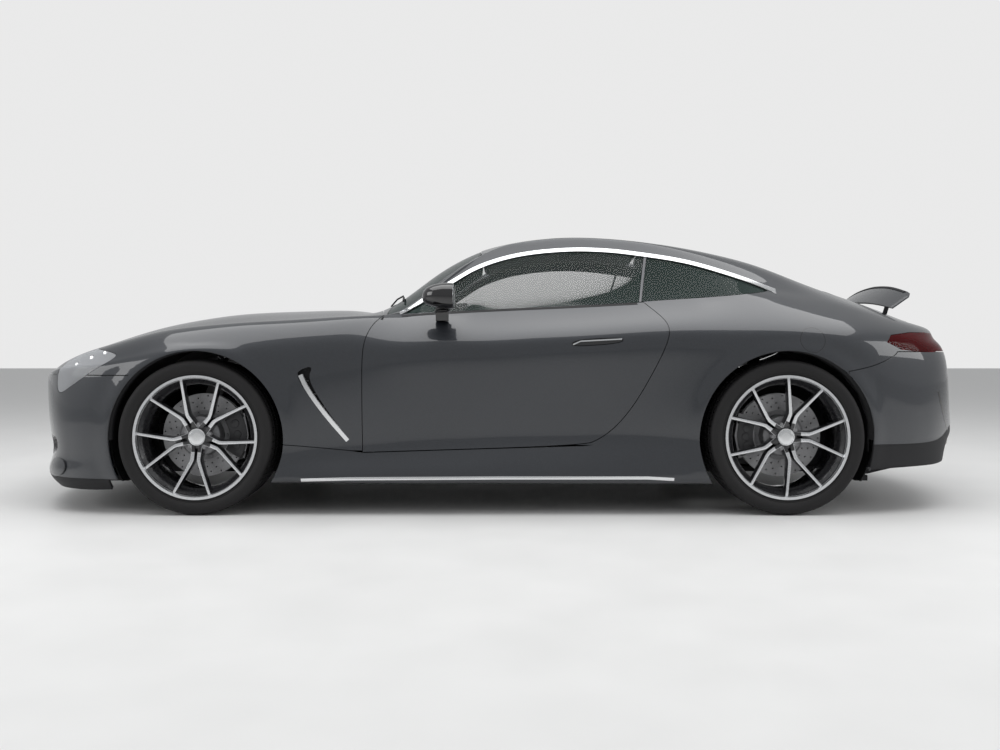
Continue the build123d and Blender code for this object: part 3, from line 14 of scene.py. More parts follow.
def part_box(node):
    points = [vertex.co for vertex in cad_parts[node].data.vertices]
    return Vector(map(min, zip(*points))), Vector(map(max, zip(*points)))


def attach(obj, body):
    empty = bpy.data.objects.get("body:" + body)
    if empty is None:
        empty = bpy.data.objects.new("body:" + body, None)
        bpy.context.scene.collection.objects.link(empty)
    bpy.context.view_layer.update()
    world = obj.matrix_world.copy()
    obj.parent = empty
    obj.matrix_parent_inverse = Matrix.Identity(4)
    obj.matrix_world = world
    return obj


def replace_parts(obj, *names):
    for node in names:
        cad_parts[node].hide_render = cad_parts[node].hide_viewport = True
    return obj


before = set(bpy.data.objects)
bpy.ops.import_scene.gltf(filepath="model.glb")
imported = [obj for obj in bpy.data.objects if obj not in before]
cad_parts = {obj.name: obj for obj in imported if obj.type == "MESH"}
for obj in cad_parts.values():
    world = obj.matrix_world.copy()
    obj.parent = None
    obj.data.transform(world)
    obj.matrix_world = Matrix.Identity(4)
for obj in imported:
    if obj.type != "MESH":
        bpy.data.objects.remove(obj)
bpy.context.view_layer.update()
MM = 0.001


def centre(node):
    """Middle of a node's box, in millimetres."""
    low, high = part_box(node)
    return [500 * (a + b) for a, b in zip(low, high)]


# ---- places read from the frame, in millimetres ----
front_x, front_wheel_y, axle_z = centre("tyre_front_left")
rear_x, rear_wheel_y = centre("tyre_rear_left")[:2]
nose_x = 1000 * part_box("front_bumper")[1][0]
tail_x = 1000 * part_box("rear_bumper")[0][0]
axle_x = {"front": front_x, "rear": rear_x}

# ---- the skin: one row per section, from nose to tail ----
# columns: axle it is measured from, how far ahead of it, height on the centre plane, then
# y and z of nine lines: edge, rail, belt, shoulder, waist, flank, sill, low and under
LINES = ("edge", "rail", "belt", "shoulder", "waist", "flank", "sill", "low", "under")
SECTIONS = (
    ("front", 866, 686, 400, 668, 460, 658, 520, 646, 560, 628, 590, 600, 604, 400, 596, 259, 604, 165, 560, 108),
    ("front", 666, 778, 590, 738, 680, 725, 760, 705, 820, 675, 850, 625, 864, 400, 856, 259, 864, 165, 820, 108),
    ("front", 416, 872, 700, 795, 775, 793, 860, 768, 925, 705, 955, 640, 962, 400, 955, 259, 950, 165, 910, 108),
    ("front", 200, 920, 745, 830, 810, 843, 890, 820, 958, 750, 984, 670, 985, 400, 975, 259, 970, 165, 930, 130),
    ("front", 0, 948, 765, 858, 830, 868, 905, 845, 970, 775, 991, 690, 991, 400, 985, 259, 975, 165, 930, 130),
    ("front", -200, 960, 772, 878, 832, 884, 900, 862, 966, 778, 988, 670, 985, 400, 978, 259, 980, 168, 930, 138),
    ("front", -384, 965, 775, 893, 828, 895, 892, 870, 955, 780, 976, 640, 974, 400, 966, 262, 984, 168, 930, 142),
    ("front", -600, 967, 773, 905, 820, 907, 878, 888, 947, 788, 964, 620, 952, 400, 946, 272, 984, 168, 930, 142),
    ("front", -764, 968, 768, 912, 812, 914, 865, 899, 944, 792, 960, 620, 945, 400, 940, 280, 984, 168, 930, 142),
    ("front", -924, 1071, 715, 950, 755, 932, 806, 920, 944, 795, 958, 620, 938, 400, 938, 287, 984, 168, 930, 142),
    ("front", -1084, 1188, 655, 1080, 700, 1037, 798, 933, 946, 798, 956, 620, 932, 400, 936, 292, 984, 169, 930, 142),
    ("front", -1250, 1275, 600, 1195, 655, 1145, 795, 941, 948, 800, 955, 620, 930, 400, 935, 297, 984, 171, 930, 142),
    ("rear", 1316, 1314, 565, 1260, 628, 1205, 794, 948, 950, 803, 955, 620, 928, 400, 935, 302, 984, 172, 930, 142),
    ("rear", 1150, 1342, 548, 1298, 608, 1242, 792, 956, 954, 812, 955, 620, 928, 400, 935, 307, 984, 172, 930, 142),
    ("rear", 966, 1353, 538, 1313, 598, 1258, 790, 963, 958, 820, 956, 620, 928, 400, 935, 313, 984, 173, 930, 142),
    ("rear", 766, 1347, 530, 1308, 592, 1254, 792, 974, 962, 832, 962, 630, 938, 410, 942, 320, 984, 173, 930, 142),
    ("rear", 566, 1330, 525, 1290, 592, 1232, 794, 984, 966, 845, 970, 650, 955, 420, 950, 325, 984, 173, 930, 142),
    ("rear", 380, 1303, 523, 1260, 605, 1192, 794, 996, 967, 854, 982, 675, 975, 420, 965, 325, 984, 173, 930, 142),
    ("rear", 200, 1268, 524, 1219, 628, 1135, 790, 1008, 964, 861, 989, 700, 986, 420, 975, 325, 980, 180, 930, 150),
    ("rear", 0, 1219, 530, 1160, 665, 1065, 788, 1000, 955, 868, 991, 720, 990, 420, 982, 325, 975, 200, 930, 170),
    ("rear", -200, 1150, 540, 1082, 690, 1020, 795, 965, 945, 858, 986, 715, 980, 420, 970, 325, 965, 215, 925, 190),
    ("rear", -384, 1084, 550, 1014, 700, 972, 800, 925, 925, 840, 968, 705, 962, 420, 950, 325, 945, 225, 905, 205),
    ("rear", -540, 1026, 545, 963, 690, 925, 790, 885, 885, 820, 925, 700, 925, 420, 910, 325, 905, 230, 865, 212),
    ("rear", -684, 981, 530, 909, 650, 888, 745, 857, 815, 802, 862, 700, 866, 420, 852, 325, 844, 232, 805, 214),
    ("rear", -829, 922, 440, 870, 520, 862, 580, 842, 625, 802, 738, 700, 740, 420, 728, 325, 716, 232, 690, 214),
)
# reach of each line ahead of the front axle, and behind the rear one, on the centre plane,
# with its height there
NOSE = ((905, 676), (932, 662), (950, 647), (966, 628), (976, 598), (966, 400), (945, 259), (970, 165), (906, 108))
TAIL = ((905, 872), (930, 858), (947, 842), (965, 802), (1010, 700), (1042, 420), (1040, 325), (975, 232), (935, 214))
nose_bend, tail_bend = (136, 620), (125, 600)
end_steps = 3


def bend_back(bend, y):
    """How far an end has curved back at y, from its reach on the centre plane."""
    return bend[0] * (y / bend[1]) ** 2


def column_of(row):
    """One section as the nine points of its left side."""
    x = axle_x[row[0]] + row[1]
    return [Vector((x, row[k], row[k + 1])) for k in range(3, 21, 2)]


def end_columns(axle, sign, ends, bend, corner):
    """Columns from the centre plane to a corner column, round the nose or the tail."""
    columns = []
    for step in range(end_steps):
        share = step / end_steps
        column = []
        for (reach, height), point in zip(ends, corner):
            y = point.y * share
            x = axle_x[axle] + sign * (reach - bend_back(bend, y))
            column.append(Vector((x, y, height + (point.z - height) * share**2)))
        columns.append(column)
    for (reach, height), point in zip(ends, corner):
        point.x = axle_x[axle] + sign * (reach - bend_back(bend, point.y))
    return columns


side_columns = [column_of(row) for row in SECTIONS]
tail_corner = [Vector((0, y, z)) for y, z in
               ((285, 856), (303, 848), (320, 836), (370, 800), (540, 700), (560, 420), (555, 325), (545, 232), (520, 214))]
nose_columns = end_columns("front", 1, NOSE, nose_bend, side_columns[0])
tail_columns = end_columns("rear", -1, TAIL, tail_bend, tail_corner)
all_columns = nose_columns + side_columns + [tail_corner] + tail_columns[::-1]
centre_heights = [row[2] for row in SECTIONS] + [868]


def line_at(x, name, of="z"):
    """Height, or distance from the centre plane, of a named line at x, by its sections."""
    k = LINES.index(name)
    for a, b in zip(side_columns, side_columns[1:] + [tail_corner]):
        if b[k].x <= x <= a[k].x:
            point = a[k].lerp(b[k], (a[k].x - x) / (a[k].x - b[k].x))
            return point.z if of == "z" else point.y
    return (side_columns[0] if x > 0 else tail_corner)[k].z


# ---- shader helpers ----
class Value:
    """A shader socket; Python's operators on it add Math nodes."""

    def __init__(self, finish, socket):
        self.finish, self.socket = finish, socket

    def _math(self, operation, first, second):
        return self.finish.node("ShaderNodeMath", {"operation": operation}, {0: first, 1: second})

    def __add__(self, other):
        return self._math("ADD", self, other)

    def __sub__(self, other):
        return self._math("SUBTRACT", self, other)

    def __rsub__(self, other):
        return self._math("SUBTRACT", other, self)

    def __mul__(self, other):
        return self._math("MULTIPLY", self, other)

    def __pow__(self, other):
        return self._math("POWER", self, other)

    def __gt__(self, other):
        return self._math("GREATER_THAN", self, other)

    def __lt__(self, other):
        return self._math("LESS_THAN", self, other)

    __radd__ = __add__
    __rmul__ = __mul__


class Finish:
    """One material: a principled shader with plain values, and nodes added to it."""

    def __init__(self, name, color, roughness, metallic=0.0, **plain):
        self.material = bpy.data.materials.new(name)
        self.material.use_nodes = True
        self.tree = self.material.node_tree
        self.shader = self.tree.nodes["Principled BSDF"]
        self.set("Base Color", (*color, 1.0))
        self.set("Roughness", roughness)
        self.set("Metallic", metallic)
        for key, value in plain.items():
            self.set(key.replace("_", " ").title().replace("Ior", "IOR"), value)

    def set(self, name, value):
        """A plain value or a link on one of the shader's sockets."""
        socket = self.shader.inputs[name]
        if isinstance(value, Value):
            self.tree.links.new(value.socket, socket)
        else:
            socket.default_value = value

    def node(self, kind, settings=None, inputs=None, output=0):
        made = self.tree.nodes.new(kind)
        for key, value in (settings or {}).items():
            if key == "stops":
                for stop, (place, shade) in zip(made.color_ramp.elements, value):
                    stop.position, stop.color = place, (*shade, 1.0) if len(shade) == 3 else shade
            else:
                setattr(made, key, value)
        for key, value in (inputs or {}).items():
            if isinstance(value, Value):
                self.tree.links.new(value.socket, made.inputs[key])
            else:
                made.inputs[key].default_value = value
        return Value(self, made.outputs[output])

    def place(self):
        """Object coordinates."""
        return self.node("ShaderNodeTexCoord", output="Object")

    def noise(self, scale, detail=2.0, stretch=None, output=0):
        place = self.place()
        if stretch:
            place = self.node("ShaderNodeVectorMath", {"operation": "MULTIPLY"}, {0: place, 1: stretch})
        return self.node("ShaderNodeTexNoise", None, {"Vector": place, "Scale": scale, "Detail": detail}, output)

    def mix(self, low, high, factor):
        return self.node("ShaderNodeMix", {"data_type": "RGBA"},
                         {0: factor, 6: low if isinstance(low, Value) else (*low, 1.0),
                          7: high if isinstance(high, Value) else (*high, 1.0)}, 2)

    def ramp(self, value, low, high):
        """A value stretched from low..high to 0..1."""
        return self.node("ShaderNodeMapRange", None, {"Value": value, "From Min": low, "From Max": high})

    def bump(self, height, distance, strength=1.0):
        self.set("Normal", self.node("ShaderNodeBump", None, {"Height": height, "Distance": distance, "Strength": strength}))


def paint_finish():
    """Dark blue-grey metallic paint under clear lacquer."""
    finish = Finish("body_paint", (0.025, 0.028, 0.034), 0.42, 0.4, coat_weight=1.0, coat_roughness=0.03)
    flake = finish.node("ShaderNodeTexVoronoi", None, {"Vector": finish.place(), "Scale": 900.0}, "Color")
    sparkle = finish.node("ShaderNodeSeparateColor", None, {0: flake}, 0)
    cloud = finish.noise(1.6)
    finish.set("Base Color", finish.mix((0.009, 0.011, 0.015), (0.032, 0.036, 0.044), sparkle * 0.55 + cloud * 0.25))
    finish.set("Roughness", 0.36 + sparkle * 0.16)
    finish.bump(finish.noise(220.0, 1.0), 0.00002, 0.25)
    return finish


def gloss_black_finish():
    finish = Finish("gloss_black", (0.008, 0.008, 0.009), 0.12, coat_weight=0.6, coat_roughness=0.03)
    finish.set("Roughness", 0.08 + finish.noise(60.0) * 0.08)
    return finish


def satin_black_finish():
    finish = Finish("satin_black", (0.014, 0.014, 0.015), 0.5, ior=1.3)
    grain = finish.noise(900.0, 3.0)
    finish.set("Base Color", finish.mix((0.010, 0.010, 0.011), (0.024, 0.024, 0.026), grain))
    finish.set("Roughness", 0.42 + grain * 0.22)
    finish.bump(grain, 0.0002, 0.35)
    return finish


def bright_trim_finish():
    """Satin bright metal of the window and sill strips."""
    finish = Finish("bright_trim", (0.72, 0.73, 0.74), 0.2, 1.0)
    brushed = finish.noise(40.0, 4.0, (1.0, 30.0, 30.0))
    finish.set("Roughness", 0.14 + brushed * 0.14)
    finish.bump(brushed, 0.00003, 0.3)
    return finish


def glass_finish(name, tint, clear):
    """Thin glass: see-through face on, and more reflective at a glancing angle."""
    finish = Finish(name, tint, 0.02, ior=1.5)
    glance = finish.node("ShaderNodeFresnel", None, {"IOR": 1.5})
    cloud = finish.noise(0.9)
    finish.set("Alpha", (1.0 - clear) + glance * clear + cloud * 0.02)
    return finish


def rubber_finish():
    finish = Finish("tyre_rubber", (0.012, 0.012, 0.013), 0.62, ior=1.3)
    grain = finish.noise(500.0, 4.0)
    dust = finish.noise(9.0, 5.0)
    finish.set("Base Color", finish.mix((0.008, 0.008, 0.009), (0.024, 0.023, 0.023), grain * 0.5 + dust * 0.5))
    finish.set("Roughness", 0.5 + dust * 0.25)
    finish.bump(grain, 0.0003, 0.4)
    return finish


def alloy_finish():
    """Diamond-turned faces of the rims: fine rings under lacquer."""
    finish = Finish("rim_face", (0.62, 0.63, 0.65), 0.26, 0.95, coat_weight=0.5, coat_roughness=0.06)
    turned = finish.noise(900.0, 1.0)
    finish.set("Roughness", 0.2 + turned * 0.14)
    finish.set("Base Color", finish.mix((0.56, 0.57, 0.59), (0.72, 0.73, 0.74), turned))
    finish.bump(turned, 0.00003, 0.3)
    return finish


def rim_black_finish():
    finish = Finish("rim_black", (0.016, 0.016, 0.018), 0.28, 0.2, coat_weight=0.8, coat_roughness=0.05)
    finish.set("Roughness", 0.22 + finish.noise(80.0) * 0.14)
    return finish


def disc_finish():
    """Brake disc with turning marks."""
    finish = Finish("disc_iron", (0.3, 0.3, 0.31), 0.4, 0.9)
    streak = finish.noise(260.0, 2.0)
    finish.set("Base Color", finish.mix((0.20, 0.20, 0.205), (0.38, 0.38, 0.39), streak))
    finish.set("Roughness", 0.34 + streak * 0.2)
    finish.bump(streak, 0.0001, 0.4)
    return finish


def cast_finish(name, dark, light, roughness, metallic=0.6):
    """Cast or plated metal with a slightly pitted surface."""
    finish = Finish(name, dark, roughness, metallic)
    pit = finish.noise(180.0, 5.0)
    finish.set("Base Color", finish.mix(dark, light, pit))
    finish.set("Roughness", roughness + pit * 0.2)
    finish.bump(pit, 0.0004, 0.4)
    return finish


def leather_finish(name, dark, light):
    finish = Finish(name, dark, 0.5, coat_weight=0.05)
    cell = finish.node("ShaderNodeTexVoronoi", None, {"Vector": finish.place(), "Scale": 420.0}, "Distance")
    wear = finish.noise(14.0, 4.0)
    finish.set("Base Color", finish.mix(dark, light, wear))
    finish.set("Roughness", 0.42 + wear * 0.2)
    finish.bump(cell, 0.0003, 0.25)
    return finish


def lamp_red_finish():
    finish = Finish("lamp_red", (0.45, 0.008, 0.012), 0.08, coat_weight=0.6, coat_roughness=0.02)
    ribs = finish.noise(120.0, 1.0, (1.0, 6.0, 1.0))
    finish.set("Base Color", finish.mix((0.42, 0.006, 0.010), (0.8, 0.03, 0.035), ribs))
    finish.set("Emission Color", finish.mix((0.25, 0.0, 0.0), (0.6, 0.02, 0.02), ribs))
    finish.set("Emission Strength", 0.6)
    return finish


def screen_finish():
    finish = Finish("display_glass", (0.006, 0.007, 0.009), 0.06, coat_weight=0.8, coat_roughness=0.02)
    finish.set("Roughness", 0.05 + finish.noise(30.0) * 0.06)
    return finish


def floor_finish():
    finish = Finish("studio_floor", (0.72, 0.72, 0.715), 0.6)
    scuff = finish.noise(3.0, 4.0)
    finish.set("Base Color", finish.mix((0.70, 0.70, 0.695), (0.76, 0.76, 0.755), scuff))
    finish.set("Roughness", 0.38 + scuff * 0.15)
    return finish


paint = paint_finish()
gloss_black = gloss_black_finish()
satin_black = satin_black_finish()
bright_trim = bright_trim_finish()
window_glass = glass_finish("window_glass", (0.045, 0.065, 0.06), 0.86)
screen_glass = glass_finish("screen_glass", (0.04, 0.055, 0.052), 0.86)
lamp_glass = glass_finish("lamp_glass", (0.5, 0.51, 0.53), 0.76)
rubber = rubber_finish()
alloy = alloy_finish()
rim_black = rim_black_finish()
disc_iron = disc_finish()
steel = cast_finish("axle_steel", (0.16, 0.16, 0.165), (0.3, 0.3, 0.31), 0.42)
calliper_paint = cast_finish("calliper_coat", (0.03, 0.03, 0.032), (0.06, 0.06, 0.063), 0.35, 0.3)
engine_cast = cast_finish("engine_cast", (0.22, 0.22, 0.225), (0.36, 0.36, 0.37), 0.5)
exhaust_steel = cast_finish("exhaust_steel", (0.32, 0.31, 0.3), (0.5, 0.49, 0.48), 0.3, 0.95)
leather = leather_finish("seat_leather", (0.014, 0.014, 0.015), (0.03, 0.03, 0.032))
thread = leather_finish("seam_thread", (0.10, 0.10, 0.105), (0.2, 0.2, 0.21))
lining = leather_finish("roof_lining", (0.022, 0.022, 0.024), (0.04, 0.04, 0.042))
lamp_red = lamp_red_finish()
display = screen_finish()
smoke_glass = glass_finish("smoke_glass", (0.10, 0.008, 0.010), 0.82)
lamp_bowl = cast_finish("lamp_bowl", (0.10, 0.10, 0.105), (0.34, 0.34, 0.35), 0.25, 0.85)
mirror_silver = bright_trim_finish()
mirror_silver.material.name = "mirror_silver"
reflector = bright_trim_finish()


def dressed(piece, *finishes):
    """Gives a piece its materials in order."""
    for finish in finishes:
        piece.data.materials.append(finish.material)
    return piece


def redress(node, finish):
    """A better material for a CAD node that stays."""
    for slot in bpy.data.objects[node].material_slots:
        slot.link = "OBJECT"
        slot.material = finish.material


# ---- mesh helpers ----
def new_piece(name, bm, body=None, smooth=True):
    """A bmesh as an object at the origin, riding on a body when one is given."""
    mesh = bpy.data.meshes.new(name)
    bm.to_mesh(mesh)
    bm.free()
    piece = bpy.data.objects.new(name, mesh)
    bpy.context.collection.objects.link(piece)
    for polygon in mesh.polygons:
        polygon.use_smooth = smooth
    if body:
        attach(piece, body)
    return piece


def applied(piece):
    """Turns a piece's modifiers into its mesh."""
    graph = bpy.context.evaluated_depsgraph_get()
    mesh = bpy.data.meshes.new_from_object(piece.evaluated_get(graph))
    piece.modifiers.clear()
    mesh.materials.clear()
    piece.data = mesh
    return piece


def sharpen(piece, angle=32):
    """Smooth faces with crisp edges past an angle."""
    bm = bmesh.new()
    bm.from_mesh(piece.data)
    for edge in bm.edges:
        edge.smooth = not (edge.is_manifold and edge.calc_face_angle(0) > radians(angle))
    for face in bm.faces:
        face.smooth = True
    bm.to_mesh(piece.data)
    bm.free()


def drop(piece):
    """Removes a helper object."""
    bpy.data.objects.remove(piece, do_unlink=True)


def loop_prism(points, place, push):
    """Closed prism: a flat outline placed by a function, then extruded along push."""
    bm = bmesh.new()
    face = bm.faces.new([bm.verts.new(place(a, b)) for a, b in points])
    grown = bmesh.ops.extrude_face_region(bm, geom=[face])["geom"]
    moved = [v for v in grown if isinstance(v, bmesh.types.BMVert)]
    bmesh.ops.translate(bm, verts=moved, vec=push)
    bmesh.ops.recalc_face_normals(bm, faces=bm.faces)
    return bm


def side_prism(points, low_y, high_y):
    """Prism across the car with an outline of (x, z) millimetres."""
    return loop_prism(points, lambda x, z: (x * MM, low_y * MM, z * MM), (0, (high_y - low_y) * MM, 0))


def plan_prism(points, low_z, high_z):
    """Upright prism with an outline of (x, y) millimetres."""
    return loop_prism(points, lambda x, y: (x * MM, y * MM, low_z * MM), (0, 0, (high_z - low_z) * MM))


def front_prism(points, low_x, high_x):
    """Prism along the car with an outline of (y, z) millimetres."""
    return loop_prism(points, lambda y, z: (low_x * MM, y * MM, z * MM), ((high_x - low_x) * MM, 0, 0))


def wheel_prism(axle, radius, low_y, high_y, drop_z=6.0):
    """Cylinder across the car on an axle's line."""
    ring = [(axle_x[axle] + radius * cos(a), axle_z - drop_z + radius * sin(a)) for a in
            (2 * pi * k / 96 for k in range(96))]
    return side_prism(ring, low_y, high_y)


def softened(points, rounds=3):
    """Corner cutting on a closed outline; a third number marks a corner that stays sharp."""
    marked = [(p[:2], len(p) > 2) for p in points]
    for _ in range(rounds):
        out = []
        for k, (p, sharp) in enumerate(marked):
            (a, _), (b, _) = marked[k - 1], marked[(k + 1) % len(marked)]
            if sharp:
                out.append((p, True))
                continue
            out.append(((p[0] * 0.75 + a[0] * 0.25, p[1] * 0.75 + a[1] * 0.25), False))
            out.append(((p[0] * 0.75 + b[0] * 0.25, p[1] * 0.75 + b[1] * 0.25), False))
        marked = out
    return [p for p, _ in marked]


def grown(points, step):
    """A closed outline moved outwards by step."""
    count = len(points)
    area = sum(points[k - 1][0] * points[k][1] - points[k][0] * points[k - 1][1] for k in range(count))
    turn = 1 if area > 0 else -1
    out = []
    for k in range(count):
        (xa, za), (x, z), (xb, zb) = points[k - 1], points[k], points[(k + 1) % count]
        la, lb = hypot(x - xa, z - za) or 1, hypot(xb - x, zb - z) or 1
        na = (turn * (z - za) / la, -turn * (x - xa) / la)
        nb = (turn * (zb - z) / lb, -turn * (xb - x) / lb)
        share = max(1 + na[0] * nb[0] + na[1] * nb[1], 0.4)
        out.append((x + step * (na[0] + nb[0]) / share, z + step * (na[1] + nb[1]) / share))
    return out


# ---- the master skin ----
def grid_of(bm, rows):
    """A grid of quads with its vertices on rows of points."""
    made = bmesh.ops.create_grid(bm, x_segments=len(rows[0]) - 1, y_segments=len(rows) - 1, size=1)
    verts = sorted(made["verts"], key=lambda v: (round(v.co.y, 5), round(v.co.x, 5)))
    for vert, point in zip(verts, [p for row in rows for p in row]):
        vert.co = Vector(point) * MM
    return verts


def crown_point(x, y, edge, centre_z):
    """A point on the crowned arc that passes through both edges and the centre height."""
    rise = max(centre_z - edge.z, 1.0)
    radius = (edge.y**2 + rise**2) / (2 * rise)
    return Vector((x, y, centre_z - radius + sqrt(radius**2 - y**2)))


def limit_of(vert):
    """Where a subdivided surface settles at a cage vertex."""
    if vert.is_boundary:
        ends = [e.other_vert(vert).co for e in vert.link_edges if e.is_boundary]
        return (vert.co * 4 + ends[0] + ends[1]) / 6
    count = len(vert.link_faces)
    near = [e.other_vert(vert) for e in vert.link_edges]
    far = [v for f in vert.link_faces for v in f.verts if v is not vert and v not in near]
    total = vert.co * count**2 + sum((v.co * 4 for v in near), Vector()) + sum((v.co for v in far), Vector())
    return total / (count * (count + 5))


def skin_cage():
    """The body's cage through every point of the tables, as one open shell."""
    bm = bmesh.new()
    grid_of(bm, [list(column) for column in all_columns])
    tops = side_columns + [tail_corner]
    rows = [[c[0].copy() for c in nose_columns] + [side_columns[0][0].copy()]]
    for column, height in zip(tops[1:], centre_heights[1:]):
        edge = column[0]
        if column is tail_corner:
            rows.append([c[0].copy() for c in tail_columns] + [edge.copy()])
            continue
        rows.append([crown_point(edge.x, edge.y * k / end_steps, edge, height) for k in range(end_steps + 1)])
    grid_of(bm, rows)
    bmesh.ops.remove_doubles(bm, verts=bm.verts, dist=0.0005)
    bmesh.ops.mirror(bm, geom=bm.verts[:] + bm.edges[:] + bm.faces[:], axis="Y", merge_dist=0.0005)
    bmesh.ops.remove_doubles(bm, verts=bm.verts, dist=0.0005)
    bmesh.ops.recalc_face_normals(bm, faces=bm.faces)
    if sum(f.normal.z for f in bm.faces) < 0:
        bmesh.ops.reverse_faces(bm, faces=bm.faces)
    targets = {v: v.co.copy() for v in bm.verts}
    for _ in range(6):
        steps = {v: targets[v] - limit_of(v) for v in bm.verts}
        for vert, step in steps.items():
            vert.co += step * 0.8
    return bm


CREASES = (
    # line, first section, last section, sharpness
    ("belt", 8, 20, 0.75),
    ("edge", 8, 13, 0.35),
    ("low", 0, 24, 0.8),
)


def crease_cage(bm):
    """Sharpens the belt, the sill and the foot of the screen."""
    layer = bm.edges.layers.float.new("crease_edge")
    tops = side_columns + [tail_corner]
    for name, first, last, sharpness in CREASES:
        k = LINES.index(name)
        path = [column[k] for column in tops[first:last + 1]]
        for edge in bm.edges:
            mid = (edge.verts[0].co + edge.verts[1].co) / 2 / MM
            for a, b in zip(path, path[1:]):
                for hand in (1, -1):
                    spot = (a + b) / 2
                    spot.y *= hand
                    if (spot - mid).length < 30 and abs(edge.verts[0].co.x - edge.verts[1].co.x) > 0.02:
                        edge[layer] = sharpness
    foot_x = side_columns[8][0].x * MM
    for edge in bm.edges:
        on_foot = all(abs(v.co.x - foot_x) < 0.03 and abs(v.co.y) < 0.80 and v.co.z > 0.88 for v in edge.verts)
        if on_foot:
            edge[layer] = 0.95


def make_skin():
    bm = skin_cage()
    crease_cage(bm)
    skin = new_piece("skin_master", bm)
    smooth = skin.modifiers.new("smooth", "SUBSURF")
    smooth.levels = smooth.render_levels = 3
    applied(skin)
    flare(skin)
    return skin


lip_flare = 9.0


def flare(skin):
    """Swells the skin slightly round each wheel arch, as a rolled lip."""
    for vert in skin.data.vertices:
        x, y, z = vert.co / MM
        for axle in ("front", "rear"):
            out = hypot(x - axle_x[axle], z - axle_z + 6) - arch_radius
            if abs(y) > 800 and z < 780 and -60 < out < 70:
                share = max(0.0, 1 - abs(out) / 70)
                vert.co.y += (1 if y > 0 else -1) * lip_flare * MM * share**2 * (3 - 2 * share)


arch_radius = 402.0
skin = make_skin()
skin_tree = BVHTree.FromObject(skin, bpy.context.evaluated_depsgraph_get())


def skin_y(x, z):
    """Distance of the left flank's skin from the centre plane at x and z, in millimetres."""
    hit = skin_tree.ray_cast(Vector((x * MM, 2.0, z * MM)), Vector((0, -1, 0)))[0]
    return hit.y / MM if hit else 900.0


def skin_z(x, y):
    """Height of the skin at x and y, in millimetres."""
    hit = skin_tree.ray_cast(Vector((x * MM, y * MM, 2.0)), Vector((0, 0, -1)))[0]
    return hit.z / MM if hit else 700.0


def flipped(bm):
    """Mirrors a closed mesh to the car's right."""
    bmesh.ops.scale(bm, vec=(1, -1, 1), verts=bm.verts)
    bmesh.ops.reverse_faces(bm, faces=bm.faces)


def doubled(bm):
    """Adds the mirror image of a left-hand mesh."""
    other = bm.copy()
    flipped(other)
    mesh = bpy.data.meshes.new("mirror")
    other.to_mesh(mesh)
    other.free()
    bm.from_mesh(mesh)
    bpy.data.meshes.remove(mesh)


def carve(name, body, keep=(), cut=(), wall=20.0, sink=0.0, side=0):
    """A panel of the skin: a wall of the master, kept inside prisms and cut by others.

    side is 0 for a panel across the car, 1 for the left, -1 for the right and 2 for a pair.
    """
    bm = bmesh.new()
    bm.from_mesh(skin.data)
    if side:
        gone = [f for f in bm.faces if f.calc_center_median().y < 0]
        bmesh.ops.delete(bm, geom=gone, context="FACES")
    if sink:
        bm.normal_update()
        for vert, normal in [(v, v.normal.copy()) for v in bm.verts]:
            vert.co -= normal * sink * MM
    panel = new_piece(name, bm, body)
    shell = panel.modifiers.new("wall", "SOLIDIFY")
    shell.thickness, shell.offset = wall * MM, -1.0
    helpers = []
    for operation, prisms in (("INTERSECT", keep), ("DIFFERENCE", cut)):
        for prism in prisms:
            helper = new_piece(f"{name}_cutter", prism)
            knife = panel.modifiers.new("cut", "BOOLEAN")
            knife.operation, knife.object, knife.solver = operation, helper, "MANIFOLD"
            helpers.append(helper)
    applied(panel)
    for helper in helpers:
        drop(helper)
    if side in (-1, 2):
        bm = bmesh.new()
        bm.from_mesh(panel.data)
        flipped(bm) if side == -1 else doubled(bm)
        bm.to_mesh(panel.data)
        bm.free()
    finish_normals(panel, sink)
    return panel


def finish_normals(panel, sink=0.0):
    """Takes the shading of the outer face from the uncut skin, and keeps the cut edges crisp."""
    sharpen(panel, 40)
    group = panel.vertex_groups.new(name="outer")
    near = []
    for vert in panel.data.vertices:
        distance = skin_tree.find_nearest(vert.co)[3]
        if distance is not None and abs(distance - sink * MM) < 0.0006:
            near.append(vert.index)
    group.add(near, 1.0, "REPLACE")
    copy = panel.modifiers.new("shade", "DATA_TRANSFER")
    copy.object = skin
    copy.use_loop_data = True
    copy.data_types_loops = {"CUSTOM_NORMAL"}
    copy.loop_mapping = "POLYINTERP_NEAREST"
    copy.vertex_group = "outer"
    applied(panel)
    panel.vertex_groups.clear()


# ---- outlines of the panels, in millimetres from the axles ----
hood_back, hood_front = front_x - 755, front_x + 790
screen_top_x = rear_x + 1412
hatch_top_x = rear_x + 520
tail_half = 322.0
bumper_z = 640.0
tail_split_z = 742.0
gap = 4.0


def edge_run(high_x, low_x, step_in):
    """Points along the edge line between two places, stepped in towards the centre plane."""
    run = [(high_x, line_at(high_x, "edge", "y") - step_in)]
    run += [(c[0].x, c[0].y - step_in) for c in side_columns if low_x + 20 < c[0].x < high_x - 20]
    return run + [(low_x, line_at(low_x, "edge", "y") - step_in)]


def across(half, rounds=3):
    """A half outline softened and closed by its mirror image."""
    both = [p for p in half] + [(p[0], -p[1], *p[2:]) for p in reversed(half)]
    return softened(both, rounds)


def at_front(points):
    return [(front_x + p[0], *p[1:]) for p in points]


def at_rear(points):
    return [(rear_x + p[0], *p[1:]) for p in points]


